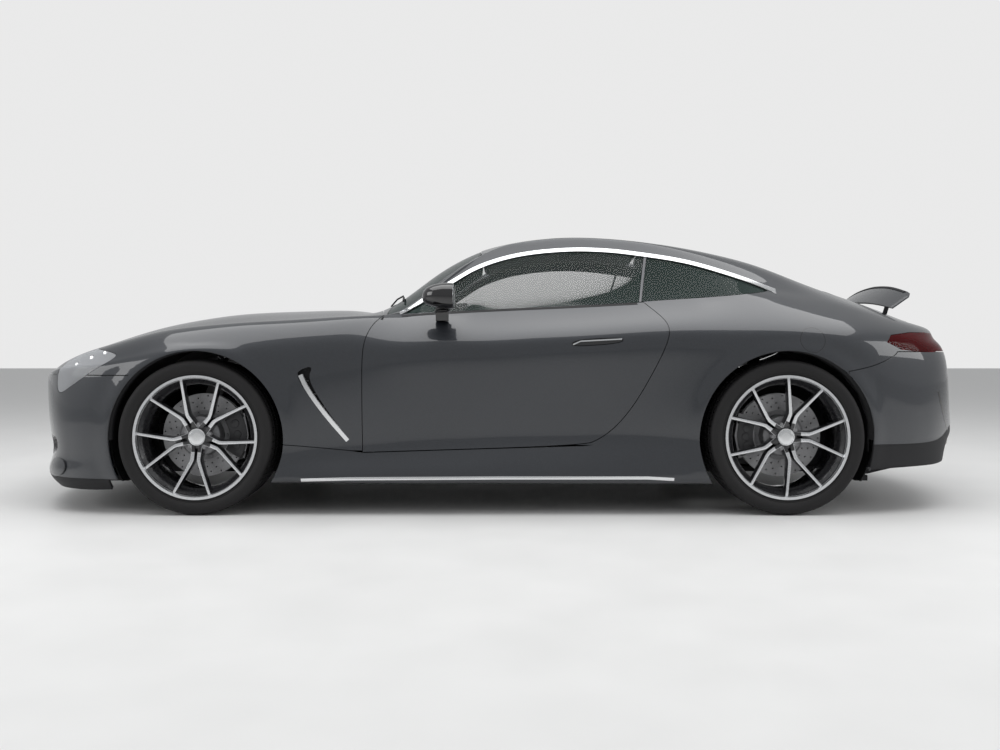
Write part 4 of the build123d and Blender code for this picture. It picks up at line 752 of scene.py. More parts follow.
door_outline = softened(
    at_front([(-850, 921, 1), (-800, 876), (-768, 800), (-759, 707), (-759, 500), (-759, 286, 1)])
    + at_rear([(930, 316), (848, 348), (770, 411), (685, 522), (592, 694), (546, 800), (536, 862), (568, 916),
               (632, 979, 1), (1316, 948, 1)])
)
glass_top = at_front([(-915, 926), (-1040, 1006), (-1163, 1088)]) + at_rear([(1410, 1166), (1212, 1226), (966, 1250),
                                                                              (769, 1244), (600, 1222)])
quarter_top = at_rear([(600, 1222), (460, 1201), (325, 1170), (128, 1104), (10, 1052)])
headlamp_outline = softened(at_front([(668, 760), (560, 765), (400, 742), (376, 722), (480, 660), (600, 585), (680, 545),
                                      (700, 600), (690, 680)]))
tail_lamp_outline = at_rear([(-470, 790), (-500, 822), (-620, 836), (-1000, 836), (-1000, 747), (-640, 747), (-540, 758)])
tail_area = softened(at_rear([(-275, 0, 1), (-275, 655, 1), (-390, 676), (-500, 722), (-520, 744, 1), (-1100, 744, 1),
                              (-1100, 0, 1)]))
valance_area = softened(at_rear([(-380, 0, 1), (-380, 322, 1), (-600, 318), (-780, 326), (-860, 384), (-940, 396),
                                 (-1100, 400, 1), (-1100, 0, 1)]))
bumper_area = at_front([(2000, bumper_z), (300, bumper_z), (300, 0), (2000, 0)])
hood_area = across(
    [(hood_front + 4, 0, 1), (hood_front + 2, 240)] + edge_run(hood_front - 40, hood_back - 30, 4)
    + [(hood_back - 78, line_at(hood_back - 78, "edge", "y") - 4, 1), (hood_back - 40, 480), (hood_back, 160), (hood_back, 0, 1)]
)
screen_area = across(
    [(hood_back - 16, 0, 1), (hood_back - 16, 160), (hood_back - 56, 480)]
    + [(hood_back - 100, line_at(hood_back - 100, "edge", "y") - 3, 1)] + edge_run(front_x - 924, screen_top_x, 3)
    + [(screen_top_x, 0, 1)]
)
roof_area = across([(screen_top_x - 3, 0, 1)] + edge_run(screen_top_x - 3, hatch_top_x + 3, 3) + [(hatch_top_x + 3, 0, 1)])
hatch_area = across([(hatch_top_x - 3, 0, 1)] + edge_run(hatch_top_x - 3, rear_x - 684, 4)
                    + [(rear_x - 780, 478), (rear_x - 829, 420), (rear_x - 845, tail_half, 1), (rear_x - 1100, tail_half, 1),
                       (rear_x - 1100, 0, 1)])


wing_front_x = rear_x - 678
wing_area = across([(wing_front_x, 0, 1), (wing_front_x + 6, 230), (wing_front_x + 24, 455, 1), (wing_front_x - 72, 455, 1),
                    (wing_front_x - 101, 420, 1), (wing_front_x - 136, 210), (wing_front_x - 144.5, 0, 1)])


def top_area(high_x, low_x):
    """Everything between the edge lines, as a plan outline."""
    return across([(high_x, 0, 1)] + edge_run(high_x, low_x, 0) + [(low_x, 0, 1)])



def side_box(high_x, low_x, high_z, low_z=0, low_y=0, high_y=1200):
    return side_prism([(high_x, low_z), (high_x, high_z), (low_x, high_z), (low_x, low_z)], low_y, high_y)


belt_drop = 3.0


def door_glass_outline():
    low = [(x, line_at(x, "belt") - belt_drop) for x in
           (rear_x + 653, rear_x + 820, rear_x + 966, rear_x + 1150, rear_x + 1316, front_x - 1084)]
    return softened([(*p, 1) if k in (0, 7) else p for k, p in enumerate(glass_top)] + [(*low[0], 1)] + low[1:])


def quarter_glass_outline():
    back = at_rear([(20, 1040, 1), (60, 1030), (216, 1014), (400, 1000), (566, 990)])
    return softened([(rear_x + 584, 1220, 1)] + quarter_top[1:] + back + [(rear_x + 638, 984, 1)])


sill_under = at_front([(-296, 0), (-296, 334), (-700, 294), (-1000, 285), (-1000, 0)])
grille_half = [(330, 598), (470, 540), (500, 300), (440, 250)]
intake = [(610, 345), (838, 358), (818, 258), (610, 255)]
diffuser_half = [(640, 190), (700, 300), (560, 372), (300, 372)]


def front_view(points, low_x, high_x, rounds=2):
    """A prism along the car from a half outline of (y, z), closed by its mirror image."""
    both = list(points) + [(-y, z) for y, z in reversed(points)]
    return front_prism(softened(both, rounds), low_x, high_x)


def front_half(half, rounds=2):
    """A half outline of (y, z) closed by its mirror image and softened."""
    return softened(list(half) + [(-y, z) for y, z in reversed(half)], rounds)


def make_panels():
    lamp_hole = side_prism(grown(headlamp_outline, 2), 0, 1200)
    nose_plan = [(front_x + 797, -395), (front_x + 797, 395), (nose_x + 50, 395), (nose_x + 50, -395)]
    door_hole = grown(door_outline, gap)
    arch = {axle: (lambda axle=axle: wheel_prism(axle, arch_radius, -1200, 1200)) for axle in axle_x}

    hood = carve("hood_skin", "hood_lid", keep=[plan_prism(hood_area, 560, 1300)])
    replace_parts(dressed(hood, paint), "hood")
    fenders = carve(
        "fender_skins", "body", side=2, keep=[side_box(nose_x, front_x - 842, 1200)],
        cut=[plan_prism(grown(hood_area, gap), 560, 1300), side_prism(door_hole, 0, 1200), side_prism(bumper_area, 0, 1200),
             arch["front"](), lamp_hole, plan_prism(nose_plan, 560, 1200), side_box(front_x - 759, front_x - 1000, 700),
             side_prism(grown(vent_outline, 1), 900, 1200), side_prism(sill_under, 0, 1200)])
    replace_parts(dressed(fenders, paint), "front_fenders")
    bumper = carve(
        "front_bumper_skin", "body",
        keep=[side_prism([(nose_x + 50, 0), (nose_x + 50, 900), (front_x + 797, 900), (front_x + 797, bumper_z - gap),
                          (front_x + 300, bumper_z - gap), (front_x + 300, 0)], -1200, 1200)],
        cut=[plan_prism(grown(hood_area, gap), 560, 1300), arch["front"](),
             front_view(grille_half, front_x + 500, nose_x + 50), side_box(nose_x + 50, front_x + 700, 1200, bumper_z - gap, 399),
             side_box(nose_x + 50, front_x + 700, 1200, bumper_z - gap, -1200, -399),
             side_box(nose_x + 50, front_x + 300, 163, 0, -1200),
             front_prism(softened([(y, z) for y, z in intake], 2), front_x + 500, nose_x + 50),
             front_prism(softened([(-y, z) for y, z in intake], 2), front_x + 500, nose_x + 50),
             side_prism(grown(headlamp_outline, 2), -1200, 1200)])
    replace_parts(dressed(bumper, paint), "front_bumper")
    for side, hand in ((1, "left"), (-1, "right")):
        door = carve(f"door_skin_{hand}", f"{hand}_door", side=side, wall=26,
                     keep=[side_prism(door_outline, 0, 1200)], cut=[side_prism(grown(handle_outline, 3), 900, 1200)])
        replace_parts(dressed(door, paint), f"door_{hand}")
        card = carve(f"door_card_{hand}", f"{hand}_door", side=side, wall=58, sink=28,
                     keep=[side_prism(grown(door_outline, -4), 0, 1200)])
        dressed(card, leather)
    top_cut = plan_prism(top_area(front_x - 700, rear_x - 829), 752, 1500)
    tail_cut = plan_prism([(rear_x - 690, 0), (tail_x - 20, 0), (tail_x - 20, tail_half), (rear_x - 690, tail_half)], 700, 1200)
    quarters = carve(
        "quarter_skins", "body", side=2, wall=24, keep=[side_box(front_x - 842 - gap, tail_x - 30, 1500, 318)],
        cut=[top_cut, tail_cut, side_prism(door_hole, 0, 1200), side_prism(grown(door_glass_outline(), 2), 0, 1200),
             side_prism(grown(quarter_glass_outline(), 2), 0, 1200), side_prism(grown(tail_area, gap), 0, 1200),
             arch["rear"](), side_prism(grown(tail_lamp_outline, 2), 0, 1200)])
    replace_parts(dressed(quarters, paint), "body_sides")
    roof = carve("roof_skin", "body", keep=[plan_prism(roof_area, 900, 1500)])
    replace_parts(dressed(roof, paint), "roof")
    window = softened([(hatch_top_x - 60, -430, 1), (rear_x - 382, -480, 1), (rear_x - 382, 480, 1), (hatch_top_x - 60, 430, 1)])
    recess = grown(wing_area, 8)
    tailgate = carve("tailgate_skin", "hatch", keep=[plan_prism(hatch_area, tail_split_z + 4, 1500)],
                     cut=[plan_prism(window, 900, 1500), plan_prism(recess, 800, 1500)])
    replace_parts(dressed(tailgate, paint), "tailgate")
    tray_area = grown(wing_area, 13)
    slots = [plan_prism([(wing_front_x - 70, y - 14), (wing_front_x + 20, y - 14), (wing_front_x + 20, y + 14),
                         (wing_front_x - 70, y + 14)], 700, 1300) for y in (-330, 330)]
    for name, sink, wall, keep, cut in (
        ("wing_tray", 28, 5, tray_area, slots),
        ("wing_tray_rim", 3, 27, tray_area, [plan_prism(grown(wing_area, 8.5), 700, 1300)]),
        ("hatch_frame", 20.5, 14, grown(hatch_area, -8), [plan_prism(grown(window, -24), 900, 1500),
                                                          plan_prism(tray_area, 700, 1300)]),
    ):
        dressed(carve(name, "hatch", sink=sink, wall=wall, keep=[plan_prism(keep, 752, 1500)], cut=cut),
                satin_black)
    valance = carve("rear_valance", "body", sink=3, keep=[side_prism(valance_area, -1200, 1200)],
                    cut=[arch["rear"](), front_view(diffuser_half, tail_x - 50, rear_x - 500)])
    dressed(valance, satin_black)
    rear = carve("rear_bumper_skin", "body", keep=[side_prism(tail_area, -1200, 1200)],
                 cut=[arch["rear"](), side_prism(valance_area, -1200, 1200), front_view(diffuser_half, tail_x - 50, rear_x - 500)])
    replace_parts(dressed(rear, paint), "rear_bumper")
    sills = carve("sill_skins", "body", side=2,
                  keep=[side_prism([(front_x - 300, 0), (front_x - 300, 330), (front_x - 700, 290), (front_x - 759, 281),
                                    (rear_x + 930, 311), (rear_x + 880, 318), (rear_x + 300, 318), (rear_x + 300, 0)], 0, 1200)],
                  cut=[arch["front"](), arch["rear"]()])
    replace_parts(dressed(sills, paint), "sills")


handle_outline = softened([(-330, 783), (-372, 800), (-566, 810), (-560, 786), (-348, 771)], 2)


def make_glass():
    screen = carve("screen_pane", "body", keep=[plan_prism(screen_area, 800, 1500)], wall=4, sink=3)
    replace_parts(dressed(screen, screen_glass), "windscreen")
    window = softened([(hatch_top_x - 62, -428, 1), (rear_x - 380, -478, 1), (rear_x - 380, 478, 1), (hatch_top_x - 62, 428, 1)])
    rear = carve("rear_pane", "hatch", keep=[plan_prism(window, 900, 1500)], wall=4, sink=2)
    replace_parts(dressed(rear, screen_glass), "rear_glass")
    for side, hand in ((1, "left"), (-1, "right")):
        pane = carve(f"door_pane_{hand}", f"{hand}_door", side=side, wall=4, sink=5,
                     keep=[side_prism(door_glass_outline(), 0, 1200)])
        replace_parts(dressed(pane, window_glass), f"door_glass_{hand}")
    quarter = carve("quarter_panes", "body", side=2, wall=4, sink=5,
                    keep=[side_prism(quarter_glass_outline(), 0, 1200)])
    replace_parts(dressed(quarter, window_glass), "quarter_glass")


def band(path, out, inside):
    """Outline of a strip along a path, reaching out and inside by per-point widths."""
    count = len(path)
    high, low = [], []
    for k, (x, z) in enumerate(path):
        (xa, za), (xb, zb) = path[max(k - 1, 0)], path[min(k + 1, count - 1)]
        run = hypot(xb - xa, zb - za)
        nx, nz = (zb - za) / run, -(xb - xa) / run
        share = k / (count - 1)
        high.append((x + nx * out(share), z + nz * out(share)))
        low.append((x - nx * inside(share), z - nz * inside(share)))
    return high + low[::-1]


def smooth_path(points, rounds=3):
    """Corner cutting on an open path that keeps its ends."""
    for _ in range(rounds):
        cut = [points[0]]
        for a, b in zip(points, points[1:]):
            cut.append((a[0] * 0.75 + b[0] * 0.25, a[1] * 0.75 + b[1] * 0.25))
            cut.append((a[0] * 0.25 + b[0] * 0.75, a[1] * 0.25 + b[1] * 0.75))
        points = cut + [points[-1]]
    return points


def make_trim():
    """Bright strip round the top of the side windows, its seal, and the strip along each sill."""
    path = smooth_path(glass_top[:-1] + quarter_top + at_rear([(-20, 1038)]))
    wide_tip = lambda share: 6 + 12 * max(0.0, (share - 0.86) / 0.14)
    strip = carve("window_strips", "body", side=2, wall=7, sink=-3,
                  keep=[side_prism(band(path, lambda s: 11 + 4 * s, wide_tip), 0, 1200)])
    dressed(strip, bright_trim)
    low = [(x, line_at(x, "belt") - 5) for x in (front_x - 925, front_x - 1084, rear_x + 1316, rear_x + 966, rear_x + 660)]
    for side, hand in ((1, "left"), (-1, "right")):
        seal = carve(f"belt_seal_{hand}", f"{hand}_door", side=side, wall=8, sink=-1,
                     keep=[side_prism(band(smooth_path(low), lambda s: 5, lambda s: 5), 0, 1200)])
        dressed(seal, satin_black)
    sill = [(front_x - 485, 163), (front_x - 700, 169), (front_x - 1400, 173), (rear_x + 640, 173), (rear_x + 520, 166)]
    chrome = carve("sill_strips", "body", side=2, wall=8, sink=-4,
                   keep=[side_prism(band(sill, lambda s: 7, lambda s: 7), 0, 1200)])
    dressed(chrome, bright_trim)


vent_outline = softened(at_front([(-460, 640), (-476, 664), (-535, 682), (-512, 626), (-566, 524), (-702, 328), (-658, 356),
                                  (-588, 456), (-498, 571)]), 2)


# ---- smaller pieces that follow the skin ----
views = {
    "side": lambda points: side_prism(points, 0, 1200),
    "nose": lambda points: front_prism(points, front_x + 500, nose_x + 50),
    "tail": lambda points: front_prism(points, tail_x - 50, rear_x - 500),
    "top": lambda points: plan_prism(points, 640, 1400),
}


def inlay(name, body, finish, outline, sink, wall, view="side", side=2, cut=()):
    """A piece of the skin inside one outline, sunk under it or raised from it."""
    keep = [views[view](outline)]
    return dressed(carve(name, body, keep=keep, cut=[views[view](c) for c in cut], wall=wall, sink=sink, side=side),
                   finish)


def strip(path, half):
    """Outline of an even band along a path."""
    return band(smooth_path(path, 2), lambda share: half, lambda share: half)


def make_lamps():
    """Lamps: a clear cover over a dark bucket with projectors, and light guides at the tail."""
    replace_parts(inlay("lamp_covers", "body", lamp_glass, headlamp_outline, 0, 3), "headlamps")
    inlay("lamp_buckets", "body", lamp_bowl, grown(headlamp_outline, 3), 62, 5)
    inlay("lamp_frames", "body", gloss_black, headlamp_outline, 5, 52, cut=[grown(headlamp_outline, -9)])
    guide = at_front([(655, 606), (600, 612), (520, 652), (440, 704), (396, 734)])
    inlay("lamp_guides", "body", bright_trim, strip(guide, 5), 16, 12)
    brow = at_front([(640, 724), (560, 742), (470, 738), (410, 734)])
    inlay("lamp_brows", "body", bright_trim, strip(brow, 3), 22, 12)
    bezel = [(20, 2), (26, 12), (31, 12), (34, 4), (34, -44), (20, -44)]
    lens = [(0.01, 16), (8, 14), (15, 8), (20, 0), (20, -10), (0.01, -10)]
    holders, lenses = bmesh.new(), bmesh.new()
    for ahead, z in ((590, 664), (520, 696), (455, 718)):
        spot = Vector((front_x + ahead, skin_y(front_x + ahead, z) - 46, z)) * MM
        turn = Matrix.Translation(spot) @ Matrix.Rotation(radians(-62), 4, "Z")
        for target, profile, closed in ((holders, bezel, True), (lenses, lens, False)):
            ring = spun(profile, 40, closed)
            bmesh.ops.transform(ring, matrix=turn, verts=ring.verts)
            joined(target, ring)
    for name, bm, finish, slot in (("projector_rings", holders, reflector, "lamp_clear"),
                                   ("projector_lenses", lenses, lamp_glass, "lamp_clear")):
        piece = new_piece(name, doubled_of(bm), "body")
        sharpen(piece)
        dressed(piece, finish)
    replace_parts(inlay("tail_lamp_covers", "body", smoke_glass, tail_lamp_outline, 0, 3), "tail_lamps")
    inlay("tail_lamp_buckets", "body", gloss_black, grown(tail_lamp_outline, 11), 32, 8)
    for name, path in (("upper", [(-505, 800), (-620, 820), (-760, 822), (-880, 818)]),
                       ("lower", [(-560, 766), (-680, 768), (-790, 770), (-890, 772)])):
        inlay(f"tail_lamp_{name}", "body", lamp_red, strip(at_rear(path), 11), 6, 22)


def doubled_of(bm):
    doubled(bm)
    return bm


def make_nose():
    """Splitter, grille frame, intakes with slats, and the small wings at the corners."""
    inlay("splitter", "body", satin_black, [(nose_x + 50, 0), (nose_x + 50, 161), (front_x + 400, 161),
                                                          (front_x + 400, 0)], 1, 16, side=0)
    ring = front_half(grille_half)
    inlay("grille_frame", "body", gloss_black, ring, 4, 34, "nose", 0, [grown(ring, -12)])
    hollow = softened(intake, 2)
    inlay("intake_backs", "body", satin_black, grown(hollow, 6), 70, 5, "nose")
    inlay("intake_frames", "body", gloss_black, hollow, 4, 60, "nose", cut=[grown(hollow, -7)])
    for k, z in enumerate((276, 302, 328)):
        inlay(f"intake_slats_{k}", "body", satin_black, [(612, z), (760, z + 3), (760, z + 10), (612, z + 7)],
              22, 26, "nose")
    vane = softened(at_front([(776, 169), (738, 246), (642, 250), (623, 203), (671, 159)]), 2)
    inlay("corner_vanes", "body", paint, vane, -7, 22)


arch_rim_depth = {"front": 60, "rear": 110}


def make_vents():
    """Fender vents with their fins, door handles and wheel-arch rims."""
    inlay("vent_backs", "body", satin_black, grown(vent_outline, 5), 34, 5)
    fin = at_front([(-478, 640), (-508, 574), (-592, 455), (-690, 338)])
    inlay("vent_fins", "body", bright_trim, strip(fin, 9), -1, 18)
    for k, z in enumerate((430, 490, 550, 610)):
        x = front_x - 560 + (z - 500) * 0.62
        inlay(f"vent_slats_{k}", "body", gloss_black, [(x - 22, z), (x + 50, z + 4), (x + 50, z + 9), (x - 22, z + 5)],
              10, 20)
    for side, hand in ((1, "left"), (-1, "right")):
        inlay(f"handle_{hand}", f"{hand}_door", gloss_black, handle_outline, 1, 12, side=side)
        top = [(-336, 781), (-374, 797), (-562, 807), (-560, 801), (-372, 791), (-340, 776)]
        inlay(f"handle_top_{hand}", f"{hand}_door", bright_trim, top, -1.5, 8, side=side)
    for axle in axle_x:
        rim = carve(f"arch_rims_{axle}", "body", side=2, sink=14, wall=arch_rim_depth[axle],
                    keep=[wheel_prism(axle, 436, 0, 1200)],
                    cut=[wheel_prism(axle, 399, 0, 1200), side_box(axle_x[axle] + 500, axle_x[axle] - 500, 340)])
        dressed(rim, satin_black)


def on_hatch(x, y, lift=0.0):
    return Vector((x, y, skin_z(x, y) + lift))


def make_wing():
    """Rear wing: a blade cut from the deck's curve, tilted and lifted on its posts."""
    blade = carve("wing_cover", "wing_blade", keep=[plan_prism(wing_area, 700, 1300)], wall=15, sink=1.5)
    flap = carve("wing_lip", "wing_blade", sink=-1.5, wall=4, keep=[
        plan_prism(across([(wing_front_x - 128, 0, 1), (wing_front_x - 121, 210), (wing_front_x - 92, 400, 1),
                           (wing_front_x - 99, 416, 1), (wing_front_x - 133, 210), (wing_front_x - 142, 0, 1)]), 700, 1300)])
    plate = carve("wing_plates", "wing_blade", side=2, sink=16, wall=5, keep=[
        plan_prism(softened([(wing_front_x - 2, 300), (wing_front_x - 60, 312), (wing_front_x - 60, 348),
                             (wing_front_x - 2, 360)], 2), 700, 1300)])
    pin = Vector((wing_front_x - 16.5, 0, skin_z(wing_front_x, 330) - 40)) * MM
    turn = (Matrix.Translation(pin + Vector((-25, 0, 78.5)) * MM) @ Matrix.Rotation(radians(56), 4, "Y")
            @ Matrix.Translation(-pin))
    for piece, finish in ((blade, paint), (flap, satin_black), (plate, satin_black)):
        piece.data.transform(turn)
        dressed(piece, finish)
    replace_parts(blade, "wing")


def make_tail():
    """Rear diffuser with its vanes, exhaust tips, crease vents and the flap over the filler."""
    vent = at_rear([(-760, 560), (-800, 470), (-856, 372), (-846, 366), (-788, 462), (-750, 556)])
    inlay("rear_vents", "body", gloss_black, vent, -0.6, 10)
    flap = [(rear_x - 110 + 58 * cos(a), 800 + 58 * sin(a)) for a in (2 * pi * k / 48 for k in range(48))]
    inlay("filler_line", "body", gloss_black, flap, -0.3, 6, cut=[grown(flap, -2.2)])
    half = front_half(diffuser_half)
    inlay("diffuser_skin", "body", satin_black, grown(half, -2), 16, 14, "tail", 0)
    for k, y in enumerate((120, 270, 420)):
        fin = [(y - 5, 150), (y + 5, 150), (y + 5, 350), (y - 5, 350)]
        inlay(f"diffuser_vanes_{k}", "body", gloss_black, fin, 4, 60, "tail")
    tips = bmesh.new()
    for y in (360, 446):
        ring = spun([(34, 0), (37, -4), (37, -120), (33, -120), (31, -8), (31, -2)], 48)
        spot = Vector((tail_x + 116, y, 262)) * MM
        bmesh.ops.transform(ring, matrix=Matrix.Translation(spot) @ Matrix.Rotation(radians(90), 4, "Z"), verts=ring.verts)
        joined(tips, ring)
    piece = new_piece("exhaust_tips", doubled_of(tips), "body")
    sharpen(piece)
    dressed(piece, exhaust_steel)


def ellipse(x, middle_y, middle_z, half_y, half_z, square=2.6, count=40):
    """A squarish oval across the car, in millimetres."""
    points = []
    for k in range(count):
        a = 2 * pi * k / count
        c, s = cos(a), sin(a)
        points.append((x, middle_y + half_y * abs(c) ** (2 / square) * (1 if c > 0 else -1),
                       middle_z + half_z * abs(s) ** (2 / square) * (1 if s > 0 else -1)))
    return points


def make_mirrors():
    """Door mirrors: rounded shell, dark base line, glass and a stalk on the door."""
    x = front_x - 1120
    shell = [ellipse(x + dx, 962 + dy, 1000 + dz, hy, hz) for dx, dy, dz, hy, hz in (
        (-54, 2, 0, 90, 52), (-58, 2, 0, 96, 58), (-46, 2, 0, 98, 60), (-10, 2, 1, 97, 59), (30, 0, 1, 90, 52),
        (60, -3, -1, 76, 42), (78, -6, -4, 56, 30), (84, -8, -5, 30, 16))]
    glass = [ellipse(x + dx, 964, 1000, hy, hz) for dx, hy, hz in ((-59, 86, 48), (-57, 88, 50), (-50, 88, 50))]
    stalk = [ellipse(x + dx, y, z, hy, hz, 2.2, 24) for dx, y, z, hy, hz in (
        (-40, 890, 936, 40, 5), (-20, 892, 936, 50, 9), (10, 890, 934, 50, 9), (34, 886, 930, 36, 5))]
    root = [[(x + dx, y, z) for dx, y, z in ((-30, yy, zz), (30, yy, zz), (30, yy + 34, zz), (-30, yy + 34, zz))]
            for yy, zz in ((850, 888), (856, 912), (866, 932), (872, 950))]
    line = [ellipse(x + dx, 963, 958, 84, 4, 3.0) for dx in (-50, 34)]
    for side, hand in ((1, "left"), (-1, "right")):
        for name, sections, finish, slot, soft in (
            ("mirror_shell", shell, gloss_black, "black_trim", 0), ("mirror_glass", glass, mirror_silver, "steel", 0),
            ("mirror_stalk", stalk, gloss_black, "black_trim", 0), ("mirror_root", root, gloss_black, "black_trim", 3),
            ("mirror_line", line, satin_black, "black_trim", 0)):
            bm = lofted(sections)
            if soft:
                rounded(bm, soft, 30)
            if side < 0:
                flipped(bm)
            piece = new_piece(f"{name}_{hand}", bm, f"{hand}_door")
            sharpen(piece, 50)
            dressed(piece, finish)
            if name == "mirror_shell":
                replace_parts(piece, f"mirror_{hand}")


def swept(path, radius, sides=10):
    """A round rod through points, in millimetres."""
    sections = []
    for k, point in enumerate(path):
        run = (Vector(path[min(k + 1, len(path) - 1)]) - Vector(path[max(k - 1, 0)])).normalized()
        aside = run.cross(Vector((0, 0, 1)) if abs(run.z) < 0.9 else Vector((1, 0, 0))).normalized()
        up = aside.cross(run)
        sections.append([Vector(point) + (aside * cos(a) + up * sin(a)) * radius for a in
                         (2 * pi * j / sides for j in range(sides))])
    return lofted(sections)


def make_wipers():
    """Cowl panel under the screen's foot with two wipers."""
    cowl = [(hood_back - 2, 0), (hood_back - 6, 180), (hood_back - 46, 480), (hood_back - 84, 706), (hood_back - 108, 700),
            (hood_back - 66, 470), (hood_back - 22, 170), (hood_back - 20, 0)]
    inlay("cowl_panel", "body", satin_black, cowl, 8, 6, "top")
    for name, foot, low, high in (("left", (-20, 300), (-60, 20), (-112, 560)), ("right", (-20, -180), (-44, -560), (-52, 40))):
        def at(spot, lift):
            return on_hatch(hood_back - 40 + spot[0], spot[1], lift)
        blade = [at((low[0] + (high[0] - low[0]) * k / 12, low[1] + (high[1] - low[1]) * k / 12), 9) for k in range(13)]
        arm = [at(foot, 6), at(((foot[0] + blade[6].x - hood_back + 40) / 2, (foot[1] + blade[6].y) / 2), 22), blade[6] + Vector((0, 0, 8))]
        bm = joined(swept(blade, 5), swept(arm, 4.5))
        piece = new_piece(f"wiper_{name}", bm, "body")
        sharpen(piece)
        dressed(piece, satin_black)


# ---- wheels: built about their own centre, outer face at +Y, then set at each corner ----
seat_radius, flange_radius, rim_half = 267.0, 284.0, 135.0
disc_radius, disc_half, disc_set_in = 195.0, 18.0, 28.0
corners = {f"{axle}_{hand}": (axle, 1 if hand == "left" else -1) for axle in ("front", "rear") for hand in ("left", "right")}
wheel_y = {"front": front_wheel_y, "rear": rear_wheel_y}
phase = {"front": -94.0, "rear": -1.0}
carrier = {"front_left": "left_knuckle", "front_right": "right_knuckle", "rear_left": "body", "rear_right": "body"}


def spun(profile, steps, closed=True):
    """A profile of (radius, y) turned once about the wheel's axis."""
    bm = bmesh.new()
    verts = [bm.verts.new((0, y * MM, r * MM)) for r, y in profile]
    pairs = list(zip(verts, verts[1:])) + ([(verts[-1], verts[0])] if closed else [])
    edges = [bm.edges.new(pair) for pair in pairs]
    bmesh.ops.spin(bm, geom=verts + edges, cent=(0, 0, 0), axis=(0, 1, 0), dvec=(0, 0, 0), angle=2 * pi, steps=steps,
                   use_merge=True, use_duplicate=False)
    bmesh.ops.remove_doubles(bm, verts=bm.verts, dist=0.00002)
    bmesh.ops.recalc_face_normals(bm, faces=bm.faces)
    return bm


def lofted(sections, capped=True):
    """A tube of quads bridged through closed section loops."""
    bm = bmesh.new()
    loops = []
    for section in sections:
        verts = [bm.verts.new(Vector(point) * MM) for point in section]
        loops.append((verts, [bm.edges.new((verts[k - 1], verts[k])) for k in range(len(verts))]))
    for (_, a), (_, b) in zip(loops, loops[1:]):
        bmesh.ops.bridge_loops(bm, edges=a + b)
    if capped:
        for verts, _ in (loops[0], loops[-1]):
            bm.faces.new(verts)
    bmesh.ops.recalc_face_normals(bm, faces=bm.faces)
    return bm


def joined(target, extra):
    """Adds one bmesh to another and frees it."""
    mesh = bpy.data.meshes.new("part")
    extra.to_mesh(mesh)
    extra.free()
    target.from_mesh(mesh)
    bpy.data.meshes.remove(mesh)
    return target


def rounded(bm, width, angle=35, segments=2):
    """Bevels the edges that are sharper than an angle."""
    edges = [e for e in bm.edges if e.is_manifold and e.calc_face_angle(0) > radians(angle)]
    bmesh.ops.bevel(bm, geom=edges, offset=width * MM, offset_type="OFFSET", affect="EDGES", segments=segments,
                    profile=0.5, material=-1, clamp_overlap=True)
    return bm


def round_bar(radius, low_y, high_y, at=(0, 0), sides=24):
    """A closed cylinder along Y at an (x, z) place."""
    bm = bmesh.new()
    bmesh.ops.create_cone(bm, cap_ends=True, segments=sides, radius1=radius * MM, radius2=radius * MM,
                          depth=(high_y - low_y) * MM, matrix=Matrix.Translation(
                              (at[0] * MM, (low_y + high_y) / 2 * MM, at[1] * MM)) @ Matrix.Rotation(pi / 2, 4, "X"))
    return bm


tread_pitches = 70
tread_profile = (
    # radius, y of the outer half from the shoulder's foot to the middle; grooves are 7 deep
    (300, 136), (312, 142), (322, 144), (333, 143), (341, 140), (347, 135), (350, 129), (352, 122), (353.2, 112), (353.6, 98),
    (346.5, 96.5), (346.5, 88.5), (354.2, 87), (354.6, 66), (355, 46), (348, 44.5), (348, 35.5), (355, 34), (355, 12), (355, 0),
)


def tyre_mesh():
    """Tyre with four round grooves, cross cuts in its ribs, and ribbed sidewalls."""
    side = [(269, 121), (272, 126), (285, 129), (290, 131), (291.5, 134), (295, 134.5), (297, 133.5)]
    half = side + list(tread_profile)
    ring = half + [(r, -y) for r, y in reversed(half[:-1])] + [(262, -112), (262, 112)]
    ring = [p for p in ring if p[0] > 262] + [(269, -110), (269, 110)]
    pitch = 360 / tread_pitches
    bm = bmesh.new()
    rows = [[Matrix.Rotation(radians(a), 4, "Y") @ Vector((0, y, r)) * MM for r, y in ring] for a in (0, pitch * 0.8, pitch)]
    columns = [[bm.verts.new(p) for p in row] for row in rows]
    for row in columns:
        for k in range(len(row)):
            bm.edges.new((row[k - 1], row[k]))
    for a, b in zip(columns, columns[1:]):
        for k in range(len(a)):
            bm.faces.new((a[k - 1], a[k], b[k], b[k - 1]))
    cut = [f for f in bm.faces if f.calc_center_median().x * cos(radians(pitch * 0.9)) > 0 and is_rib(f, pitch)]
    made = bmesh.ops.extrude_discrete_faces(bm, faces=cut)["faces"]
    for face in made:
        out = face.calc_center_median()
        out.y = 0
        bmesh.ops.translate(bm, verts=face.verts, vec=-out.normalized() * 0.005)
    segment = bm.verts[:] + bm.edges[:] + bm.faces[:]
    bmesh.ops.spin(bm, geom=segment, cent=(0, 0, 0), axis=(0, 1, 0), dvec=(0, 0, 0), angle=2 * pi * (tread_pitches - 1)
                   / tread_pitches, steps=tread_pitches - 1, use_duplicate=True)
    bmesh.ops.remove_doubles(bm, verts=bm.verts, dist=0.00005)
    bmesh.ops.recalc_face_normals(bm, faces=bm.faces)
    return bm


def is_rib(face, pitch):
    """Whether a face of the tread's segment is one of the cuts across a rib."""
    middle = face.calc_center_median() / MM
    turned = atan2(middle.x, middle.z)
    radius = hypot(middle.x, middle.z)
    on_rib = radius > 351.5 and 20 < abs(middle.y) < 125
    return on_rib and turned > radians(pitch * 0.8)


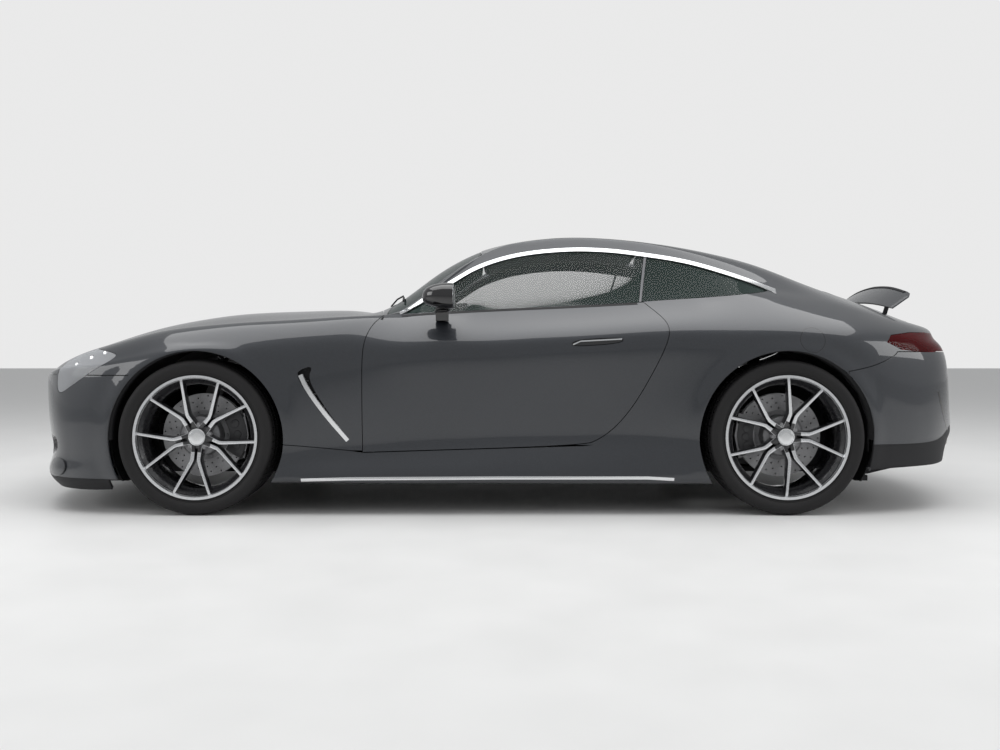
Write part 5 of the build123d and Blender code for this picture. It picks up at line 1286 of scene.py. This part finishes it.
def polar(radius, angle, y=0.0):
    """A point of the wheel's face: angle in degrees, seen from outside on the car's left."""
    return Vector((-radius * cos(radians(angle)), y, radius * sin(radians(angle))))


spoke_path = (
    # radius along the pair's middle, distance to the side, face height, face width, back width, depth
    (34, 17.5, 98, 17, 30, 34),
    (70, 15.0, 100, 17, 30, 36),
    (104, 14.5, 104, 16, 28, 36),
    (120, 19.5, 106, 15, 26, 36),
    (180, 46.5, 114, 13, 23, 34),
    (235, 71.5, 121, 12, 22, 32),
    (262, 84.0, 124, 13, 24, 30),
)


def spoke_bar(middle, hand):
    """One slim spoke: flat outer face, sides that widen towards the back."""
    along, aside = polar(1, middle), polar(1, middle + 90)
    points = [along * r + aside * hand * s for r, s, *_ in spoke_path]
    sections = []
    for k, (_, _, face, wide_face, wide_back, depth) in enumerate(spoke_path):
        run = (points[min(k + 1, len(points) - 1)] - points[max(k - 1, 0)]).normalized()
        across_bar = run.cross(Vector((0, 1, 0)))
        out = Vector((0, face, 0))
        back = Vector((0, face - depth, 0))
        corner = [points[k] + across_bar * wide_face / 2 + out, points[k] - across_bar * wide_face / 2 + out,
                  points[k] - across_bar * wide_back / 2 + back, points[k] + across_bar * wide_back / 2 + back]
        sections.append(corner)
    return rounded(lofted(sections), 1.6)


def rim_mesh(middle):
    """Barrel, lip, hub and five pairs of spokes; turned faces get the second material."""
    profile = [
        (flange_radius, rim_half), (flange_radius - 1, rim_half - 7), (seat_radius + 1, rim_half - 11), (seat_radius, 100),
        (248, 80), (246, 20), (250, -70), (seat_radius, -108), (seat_radius, -rim_half + 12), (flange_radius, -rim_half + 8),
        (flange_radius, -rim_half), (flange_radius - 8, -rim_half), (seat_radius - 10, -rim_half + 16), (246, -70), (240, 20),
        (242, 84), (253, 104), (264, 116), (268.5, 124), (270, 131), (272, rim_half - 0.5),
    ]
    bm = spun(profile, 120)
    hub = spun([(0.01, 92), (30, 92), (52, 90), (60, 84), (64, 70), (60, 40), (70, 30), (72, 12), (0.01, 12)], 64, closed=False)
    joined(bm, hub)
    for k in range(5):
        for hand in (1, -1):
            joined(bm, spoke_bar(middle + 72 * k, hand))
    bm.normal_update()
    for face in bm.faces:
        spot = face.calc_center_median() / MM
        far = hypot(spot.x, spot.z)
        turned_face = face.normal.y > 0.86 and far < 262 and spot.y > 88 and far > 58
        lip = far > 266 and spot.y > 123
        face.material_index = 1 if turned_face or lip else 0
    return bm


def cap_mesh():
    """Plain round centre cap with a shallow dish."""
    return spun([(0.01, 108), (18, 108.4), (30, 107.6), (34, 106), (36, 108.6), (38.5, 108.6), (40, 106), (40, 90), (0.01, 90)],
                64, closed=False)


def bolt_mesh(middle):
    """Five wheel bolts, one in the fork of each pair."""
    bm = bmesh.new()
    for k in range(5):
        spot = polar(56, middle + 36 + 72 * k)
        joined(bm, round_bar(9.5, 84, 97, (spot.x, spot.z), 6))
        joined(bm, round_bar(12, 84, 87.5, (spot.x, spot.z), 20))
    return rounded(bm, 0.8, 40, 1)


def disc_mesh():
    """The vented disc's ring alone; drilled adds its holes and hat_mesh its hat and fasteners."""
    low, high = -disc_set_in - disc_half, -disc_set_in + disc_half
    ring = spun([(disc_radius, high), (disc_radius, high - 11), (disc_radius - 5, high - 12), (disc_radius - 5, low + 12),
                 (disc_radius, low + 11), (disc_radius, low), (112, low), (112, low + 8), (112, high - 8), (112, high)], 96)
    return ring


def drilled(ring, name):
    """The disc's ring as an object, with curved rows of small holes through it."""
    bm = bmesh.new()
    for k in range(24):
        for row in range(3):
            spot = polar(126 + 24 * row + (k % 2) * 10, 15 * k + 5 * row)
            joined(bm, round_bar(3.6, -80, 30, (spot.x, spot.z), 10))
    piece = new_piece(name, ring)
    holes = new_piece(f"{name}_holes", bm)
    knife = piece.modifiers.new("drill", "BOOLEAN")
    knife.operation, knife.object, knife.solver = "DIFFERENCE", holes, "MANIFOLD"
    applied(piece)
    drop(holes)
    return piece


def hat_mesh():
    """Dark hat that carries the disc's ring, with ten lugs and their fasteners."""
    high = -disc_set_in + disc_half
    bm = spun([(20, 60), (86, 60), (92, 54), (95, high + 3), (108, high + 1), (116, high + 1), (116, high - 10), (98, high - 10),
               (86, 44), (20, 50)], 72)
    for k in range(10):
        spot = polar(104, 36 * k)
        joined(bm, round_bar(8, high - 6, high + 7, (spot.x, spot.z), 18))
    return rounded(bm, 0.8, 45, 1)


calliper_shape = {
    # per axle: which way round the disc it sits (image angle), half its angle, inner and outer radius
    "front": (2.0, 33.0, 128, 219),
    "rear": (182.0, 26.0, 132, 215),
}


def calliper_mesh(axle):
    """Fixed calliper: two halves over the disc, a bridge, ribs and the pads' pins."""
    middle, half, inner, outer = calliper_shape[axle]
    face, back = -disc_set_in + disc_half + 8, -disc_set_in - disc_half - 8
    bm = bmesh.new()
    for low_y, high_y in ((face, face + 34), (back - 32, back)):
        joined(bm, arc_block(middle, half, inner, outer - 10, low_y, high_y))
    for a in (-0.82, 0.82):
        joined(bm, arc_block(middle + half * a, half * 0.18, disc_radius + 5, outer, back - 28, face + 30))
    joined(bm, arc_block(middle, half * 0.14, disc_radius + 5, outer - 2, back - 26, face + 28))
    for k in (-0.55, 0.0, 0.55):
        spot = polar((inner + outer) / 2 - 8, middle + half * k)
        joined(bm, round_bar(19, face + 30, face + 38, (spot.x, spot.z), 28))
    return rounded(bm, 3.0, 40, 2)


def arc_block(middle, half, inner, outer, low_y, high_y):
    """A block bent round the wheel's axis."""
    bm = bmesh.new()
    turn = Matrix.Rotation(radians(middle - half), 4, "Y")
    corner = [(-inner, low_y, 0), (-outer, low_y, 0), (-outer, high_y, 0), (-inner, high_y, 0)]
    verts = [bm.verts.new(turn @ Vector(p) * MM) for p in corner]
    face = bm.faces.new(verts)
    bmesh.ops.spin(bm, geom=[face, *face.edges, *face.verts], cent=(0, 0, 0), axis=(0, 1, 0), dvec=(0, 0, 0),
                   angle=radians(2 * half), steps=10)
    bmesh.ops.recalc_face_normals(bm, faces=bm.faces)
    return bm


def at_corner(corner):
    """Where a wheel-centred mesh goes at one corner of the car."""
    axle, side = corners[corner]
    spot = Vector((axle_x[axle], side * wheel_y[axle], axle_z)) * MM
    turn = Matrix.Identity(4) if side > 0 else Matrix.Rotation(pi, 4, "Z")
    return Matrix.Translation(spot) @ turn


def set_at(name, source, corner, body, finishes, angle=32):
    """A copy of a wheel-centred mesh, placed at one corner."""
    mesh = source.copy()
    mesh.transform(at_corner(corner))
    piece = bpy.data.objects.new(name, mesh)
    bpy.context.collection.objects.link(piece)
    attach(piece, body)
    sharpen(piece, angle)
    return dressed(piece, *finishes)


def as_mesh(bm):
    mesh = bpy.data.meshes.new("shape")
    bm.to_mesh(mesh)
    bm.free()
    return mesh


def make_wheels():
    tyre = as_mesh(tyre_mesh())
    ring = drilled(disc_mesh(), "disc_ring")
    hat, cap = as_mesh(hat_mesh()), as_mesh(cap_mesh())
    liner = as_mesh(arc_block(90, 100, 397, 403, -230, 60))
    for corner, (axle, side) in corners.items():
        body = f"wheel_{corner}"
        middle = phase[axle]
        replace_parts(set_at(f"tyre_cover_{corner}", tyre, corner, body, [rubber], 28), f"tyre_{corner}")
        rim = as_mesh(rim_mesh(middle))
        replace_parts(set_at(f"rim_star_{corner}", rim, corner, body, [rim_black, alloy], 30), f"rim_{corner}")
        set_at(f"centre_cap_{corner}", cap, corner, body, [bright_trim])
        set_at(f"wheel_bolts_{corner}", as_mesh(bolt_mesh(middle)), corner, body, [steel])
        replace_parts(set_at(f"disc_ring_{corner}", ring.data, corner, body, [disc_iron]), f"disc_{corner}")
        set_at(f"disc_hat_{corner}", hat, corner, body, [steel])
        if axle == "rear":
            set_at(f"arch_liner_{corner}", liner, corner, "body", [satin_black])
        set_at(f"calliper_{corner}", as_mesh(calliper_mesh(axle)), corner, carrier[corner], [calliper_paint])
    drop(ring)


# ---- cabin ----
seat_x, seat_side = rear_x + 1010, 370.0


def cushion_block(low, high, bow=(0, 0, 0), cuts=(9, 9, 5)):
    """A block between two corners in millimetres, with enough edges to swell into a pad."""
    bm = bmesh.new()
    bmesh.ops.create_cube(bm, size=1)
    for axis, count in enumerate(cuts):
        edges = [e for e in bm.edges if abs((e.verts[0].co - e.verts[1].co)[axis]) > 0.9]
        bmesh.ops.subdivide_edges(bm, edges=edges, cuts=count, use_grid_fill=True)
    for vert in bm.verts:
        share = [2 * c for c in vert.co]
        swell = [1 - 0.16 * max(abs(share[k - 1]), abs(share[k - 2])) ** 4 for k in range(3)]
        vert.co = Vector([((low[k] + high[k]) / 2 + (high[k] - low[k]) / 2 * share[k] * swell[k]
                           + bow[k] * (1 - share[k - 1] ** 2)) * MM for k in range(3)])
    return bm


def leaned(bm, hinge, angle):
    """Leans a mesh about a line across the car, in millimetres and degrees."""
    spot = Vector(hinge) * MM
    turn = Matrix.Translation(spot) @ Matrix.Rotation(radians(angle), 4, "Y") @ Matrix.Translation(-spot)
    bmesh.ops.transform(bm, matrix=turn, verts=bm.verts)
    return bm


PADS = (
    # name, low and high corner from the seat's middle, how far it bows along each axis, lean
    ("seat_cushion", (20, -165, 250), (455, 165, 372), (0, 0, 14), 0),
    ("seat_front_roll", (420, -170, 262), (500, 170, 362), (6, 0, 6), 0),
    ("seat_side_left", (30, 160, 250), (450, 232, 412), (0, 0, 10), 0),
    ("seat_side_right", (30, -232, 250), (450, -160, 412), (0, 0, 10), 0),
    ("back_lower", (-62, -150, 330), (30, 150, 600), (14, 0, 0), -15),
    ("back_upper", (-60, -160, 596), (16, 160, 860), (12, 0, 0), -15),
    ("back_side_left", (-70, 145, 330), (66, 222, 830), (10, 0, 0), -15),
    ("back_side_right", (-70, -222, 330), (66, -145, 830), (10, 0, 0), -15),
    ("head_rest", (-64, -118, 850), (20, 118, 1056), (12, 0, 0), -15),
)


puff_cap = 0.022


def puffed(piece):
    """Fills a pad with air between its held seams, then rounds it off."""
    at_rest = [v.co.copy() for v in piece.data.vertices]
    bm = bmesh.new()
    bm.from_mesh(piece.data)
    seams = {v.index for e in bm.edges if e.calc_face_angle(0) > radians(50) for v in e.verts}
    bm.free()
    piece.vertex_groups.new(name="seam").add(list(seams), 1.0, "REPLACE")
    cloth = piece.modifiers.new("air", "CLOTH").settings
    cloth.quality = 5
    cloth.use_pressure = True
    cloth.uniform_pressure_force = 4.0
    cloth.effector_weights.gravity = 0.0
    cloth.vertex_group_mass = "seam"
    for frame_number in range(1, 21):
        bpy.context.scene.frame_set(frame_number)
    applied(piece)
    piece.vertex_groups.clear()
    bpy.context.scene.frame_set(1)
    for vert, start in zip(piece.data.vertices, at_rest):
        push = vert.co - start
        if push.length > puff_cap:
            vert.co = start + push.normalized() * puff_cap
    rounding = piece.modifiers.new("rounding", "SUBSURF")
    rounding.levels = rounding.render_levels = 1
    return applied(piece)


def make_seats():
    """Two bucket seats: separate pads with piped seams on a dark shell."""
    first = True
    for hand, side in (("left", 1), ("right", -1)):
        middle = Vector((seat_x, side * seat_side, 0))
        pads = []
        for name, low, high, bow, lean in PADS:
            bm = leaned(cushion_block(low, high, bow), (0, 0, 330), lean)
            bmesh.ops.translate(bm, verts=bm.verts, vec=middle * MM)
            pad = new_piece(f"{name}_{hand}", bm, "body")
            dressed(puffed(pad), leather)
            pads.append(pad)
        if first:
            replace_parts(pads[0], "seats")
            first = False
        shell = bmesh.new()
        for low, high, lean in (((-84, -214, 300), (-58, 214, 850), -15), ((0, -205, 225), (440, 205, 262), 0),
                                ((-80, -30, 820), (-56, 30, 1000), -15)):
            block = bmesh.new()
            bmesh.ops.create_cube(block, size=1)
            bmesh.ops.scale(block, vec=[(b - a) * MM for a, b in zip(low, high)], verts=block.verts)
            bmesh.ops.translate(block, vec=[(a + b) / 2 * MM for a, b in zip(low, high)], verts=block.verts)
            joined(shell, leaned(rounded(block, 11, 30, 3), (0, 0, 330), lean))
        for y in (-170, 170):
            rail = bmesh.new()
            bmesh.ops.create_cube(rail, size=1)
            bmesh.ops.scale(rail, vec=(0.46, 0.03, 0.06), verts=rail.verts)
            bmesh.ops.translate(rail, vec=(0.22, y * MM, 0.2), verts=rail.verts)
            joined(shell, rounded(rail, 4, 30))
        bmesh.ops.translate(shell, verts=shell.verts, vec=middle * MM)
        dressed(new_piece(f"seat_shell_{hand}", shell, "body"), satin_black)
        seams = bmesh.new()
        for y in (-82, 0, 82):
            joined(seams, swept([(40 + 36 * k, y, 385 + 6 * (1 - ((k - 5) / 5) ** 2)) for k in range(11)], 1.6, 6))
        bmesh.ops.translate(seams, verts=seams.verts, vec=middle * MM)
        dressed(new_piece(f"seat_seams_{hand}", seams, "body"), thread)
        belt = [(seat_x - 190, side * 585, 1010), (seat_x - 150, side * 592, 860), (seat_x - 60, side * 600, 560),
                (seat_x + 20, side * 604, 300)]
        strap = bmesh.new()
        rows = [[(x, y - 2, z), (x + 24, y - 2, z), (x + 24, y + 1, z), (x, y + 1, z)] for x, y, z in belt]
        joined(strap, lofted(rows))
        dressed(new_piece(f"seat_belt_{hand}", strap, "body"), satin_black)


def make_dash():
    """Instrument panel with hood, screens and vents, over a console with a selector."""
    x = front_x - 703
    profile = [(x, 665), (x, 846), (x - 60, 862), (x - 150, 868), (x - 250, 874), (x - 330, 872), (x - 374, 852), (x - 384, 820),
               (x - 372, 770), (x - 330, 700), (x - 262, 648), (x - 60, 628)]
    panel = rounded(side_prism(softened(profile, 1), -632, 632), 10, 60, 3)
    piece = new_piece("dash_panel", panel, "body")
    sharpen(piece, 40)
    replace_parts(dressed(piece, leather), "dashboard")
    console = [(x - 230, 368), (x - 250, 660), (x - 330, 690), (x - 470, 620), (x - 640, 556), (x - 1120, 538), (x - 1150, 520),
               (x - 1156, 368)]
    piece = new_piece("console", rounded(side_prism(softened(console, 1), -108, 108), 14, 60, 3), "body")
    sharpen(piece, 40)
    dressed(piece, leather)
    boxes = (
        # name, finish, slot, low corner, high corner, rounding
        ("centre_screen", display, "cabin_plastic", (x - 470, -95, 640), (x - 452, 95, 880), 6),
        ("driver_screen", display, "cabin_plastic", (x - 396, 235, 800), (x - 384, 505, 880), 5),
        ("dash_strip", bright_trim, "cabin_plastic", (x - 388, -600, 756), (x - 376, 600, 764), 1.5),
        ("selector", gloss_black, "cabin_plastic", (x - 760, -24, 556), (x - 700, 24, 600), 9),
        ("arm_lid", leather, "cabin_leather", (x - 1100, -92, 536), (x - 850, 92, 556), 9),
        ("cup_lid", gloss_black, "cabin_plastic", (x - 830, -70, 545), (x - 660, 70, 563), 4),
    )
    for name, finish, slot, low, high, soft in boxes:
        block = bmesh.new()
        bmesh.ops.create_cube(block, size=1)
        bmesh.ops.scale(block, vec=[(b - a) * MM for a, b in zip(low, high)], verts=block.verts)
        bmesh.ops.translate(block, vec=[(a + b) / 2 * MM for a, b in zip(low, high)], verts=block.verts)
        piece = new_piece(name, rounded(block, soft, 30, 3), "body")
        sharpen(piece, 40)
        dressed(piece, finish)
    vents = bmesh.new()
    for y in (-560, -150, -50, 50, 150, 560):
        ring = spun([(30, 0), (34, 5), (38, 0), (38, -14), (30, -14)], 32)
        fan = joined(ring, round_bar(5, -8, 4))
        for turn in (0, 60, 120):
            vane = round_bar(1.6, -31, 31)
            bmesh.ops.transform(vane, matrix=Matrix.Rotation(radians(turn), 4, "Y") @ Matrix.Rotation(pi / 2, 4, "X"),
                                verts=vane.verts)
            joined(fan, vane)
        matrix = Matrix.Translation(Vector((x - 372, y, 795)) * MM) @ Matrix.Rotation(radians(90), 4, "Z")
        bmesh.ops.transform(fan, matrix=matrix, verts=fan.verts)
        joined(vents, fan)
    piece = new_piece("dash_vents", vents, "body")
    sharpen(piece)
    dressed(piece, bright_trim)


def make_helm():
    """Steering wheel: a thick grip flattened at the foot, three spokes, pad and column shroud."""
    low, high = [Vector(c) * 1000 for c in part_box("steering_wheel")]
    tilt = radians(-24)
    hub = Vector((low.x + 89, (low.y + high.y) / 2, (low.z + high.z) / 2))
    ring = []
    for k in range(64):
        a = 2 * pi * k / 64
        r = 176 * (0.9 if sin(a) < -0.8 else 1.0)
        ring.append((cos(a) * r, sin(a) * (r if sin(a) > -0.8 else 150 / max(-sin(a), 0.8))))
    sections = []
    for k, (y, z) in enumerate(ring):
        (ya, za), (yb, zb) = ring[k - 1], ring[(k + 1) % 64]
        run = Vector((0, yb - ya, zb - za)).normalized()
        out = Vector((0, run.z, -run.y))
        sections.append([Vector((0, y, z)) + (out * cos(t) * 14 + Vector((1, 0, 0)) * sin(t) * 15) for t in
                         (2 * pi * j / 14 for j in range(14))])
    grip = lofted(sections + [sections[0]], capped=False)
    bmesh.ops.remove_doubles(grip, verts=grip.verts, dist=0.00002)
    bmesh.ops.recalc_face_normals(grip, faces=grip.faces)
    pad = lofted([ellipse(dx, 0, 0, hy, hz, 2.8, 36) for dx, hy, hz in ((24, 46, 40), (8, 60, 52), (-8, 58, 50), (-16, 46, 38))])
    spokes = bmesh.new()
    for y0, z0, y1, z1, wide in ((40, 6, 166, 16, 20), (-40, 6, -166, 16, 20), (0, -30, 0, -140, 16)):
        run = Vector((0, y1 - y0, z1 - z0)).normalized()
        aside = Vector((0, run.z, -run.y)) * wide
        bar = lofted([[Vector((dx, y, z)) + aside * w for dx, w in ((-6, -1), (-6, 1), (6, 1), (6, -1))] for y, z in
                      ((y0, z0), (y1, z1))])
        joined(spokes, rounded(bar, 3, 30))
    matrix = Matrix.Translation(hub * MM) @ Matrix.Rotation(-tilt, 4, "Y")
    for name, bm, finish, slot in (("wheel_grip", grip, leather, "cabin_leather"), ("wheel_pad", pad, leather, "cabin_leather"),
                                   ("wheel_spokes", spokes, gloss_black, "cabin_plastic")):
        bmesh.ops.transform(bm, matrix=matrix, verts=bm.verts)
        piece = new_piece(name, bm, "helm")
        sharpen(piece, 40)
        dressed(piece, finish)
        if name == "wheel_grip":
            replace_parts(piece, "steering_wheel")
    shroud = lofted([ellipse(dx, 0, 0, h, h * 1.1, 2.4, 28) for dx, h in ((46, 34), (120, 44), (180, 46))])
    bmesh.ops.transform(shroud, matrix=matrix, verts=shroud.verts)
    dressed(new_piece("column_shroud", shroud, "body"), satin_black)


def make_linings():
    """Lining under the roof, and an armrest on each door."""
    area = across([(screen_top_x - 30, 0, 1)] + edge_run(screen_top_x - 30, hatch_top_x + 20, 34) + [(hatch_top_x + 20, 0, 1)])
    dressed(carve("roof_lining", "body", keep=[plan_prism(area, 900, 1500)], sink=24, wall=8), lining)
    for side, hand in ((1, "left"), (-1, "right")):
        rest = rounded(side_prism(softened([(rear_x + 1500, 690), (rear_x + 1180, 700), (rear_x + 900, 735),
                                            (rear_x + 900, 690), (rear_x + 1200, 655), (rear_x + 1500, 650)], 1), 800, 850), 10, 40, 3)
        if side < 0:
            flipped(rest)
        piece = new_piece(f"arm_rest_{hand}", rest, f"{hand}_door")
        sharpen(piece, 40)
        dressed(piece, leather)


# ---- setting, light and camera ----
def make_studio():
    bm = bmesh.new()
    bmesh.ops.create_grid(bm, x_segments=8, y_segments=8, size=30)
    floor = new_piece("studio_ground", bm)
    dressed(floor, floor_finish())
    world = bpy.data.worlds.new("studio")
    bpy.context.scene.world = world
    world.use_nodes = True
    tree = world.node_tree
    light_path = tree.nodes.new("ShaderNodeLightPath")
    base = tree.nodes["Background"]
    base.inputs["Color"].default_value = (0.95, 0.96, 0.97, 1)
    base.inputs["Strength"].default_value = 0.5
    seen = tree.nodes.new("ShaderNodeBackground")
    seen.inputs["Color"].default_value = (0.82, 0.82, 0.82, 1)
    seen.inputs["Strength"].default_value = 1.0
    larger = tree.nodes.new("ShaderNodeMath")
    larger.operation = "MAXIMUM"
    tree.links.new(light_path.outputs["Is Camera Ray"], larger.inputs[0])
    tree.links.new(light_path.outputs["Is Transmission Ray"], larger.inputs[1])
    either = larger.outputs[0]
    blend = tree.nodes.new("ShaderNodeMixShader")
    tree.links.new(either, blend.inputs[0])
    tree.links.new(base.outputs[0], blend.inputs[1])
    tree.links.new(seen.outputs[0], blend.inputs[2])
    tree.links.new(blend.outputs[0], tree.nodes["World Output"].inputs["Surface"])
    for name, spot, aim, size, power in (
        ("ceiling", (0.0, 1.0, 5.2), (0, 0, 0), (9.0, 5.0), 330),
        ("nose_side", (7.5, 3.5, 3.0), (0.8, 0, 0.5), (4.0, 3.0), 120),
        ("tail_side", (-7.5, 3.5, 3.0), (-0.8, 0, 0.5), (4.0, 3.0), 120),
    ):
        lamp = bpy.data.lights.new(name, "AREA")
        lamp.shape, lamp.size, lamp.size_y, lamp.energy = "RECTANGLE", size[0], size[1], power
        holder = bpy.data.objects.new(name, lamp)
        holder.location = spot
        holder.rotation_euler = (Vector(aim) - Vector(spot)).to_track_quat("-Z", "Y").to_euler()
        bpy.context.collection.objects.link(holder)
    bpy.context.scene.view_settings.view_transform = "Standard"


def make_camera():
    data = bpy.data.cameras.new("camera")
    data.sensor_width, data.lens = 36.0, 33.84
    data.shift_y = -0.027
    camera = bpy.data.objects.new("camera", data)
    camera.location = (-0.005, 5.253, 0.763)
    camera.rotation_euler = (radians(90), 0, radians(180))
    bpy.context.collection.objects.link(camera)
    bpy.context.scene.camera = camera


make_panels()
make_glass()
make_trim()
make_lamps()
make_nose()
make_vents()
make_wing()
make_tail()
make_mirrors()
make_wipers()
make_wheels()
make_seats()
make_dash()
make_helm()
make_linings()
make_studio()
make_camera()
drop(skin)
for node, finish in (
    
    ("grille", gloss_black), ("radiator", steel), ("diffuser", satin_black), ("wing_posts", satin_black),
    ("floor_pan", satin_black), ("wheel_liners", satin_black),
    ("engine_block", engine_cast), ("exhaust", exhaust_steel), ("knuckle_left", steel), ("knuckle_right", steel),
    ("front_axle", steel), ("rear_axle", steel),
):
    redress(node, finish)
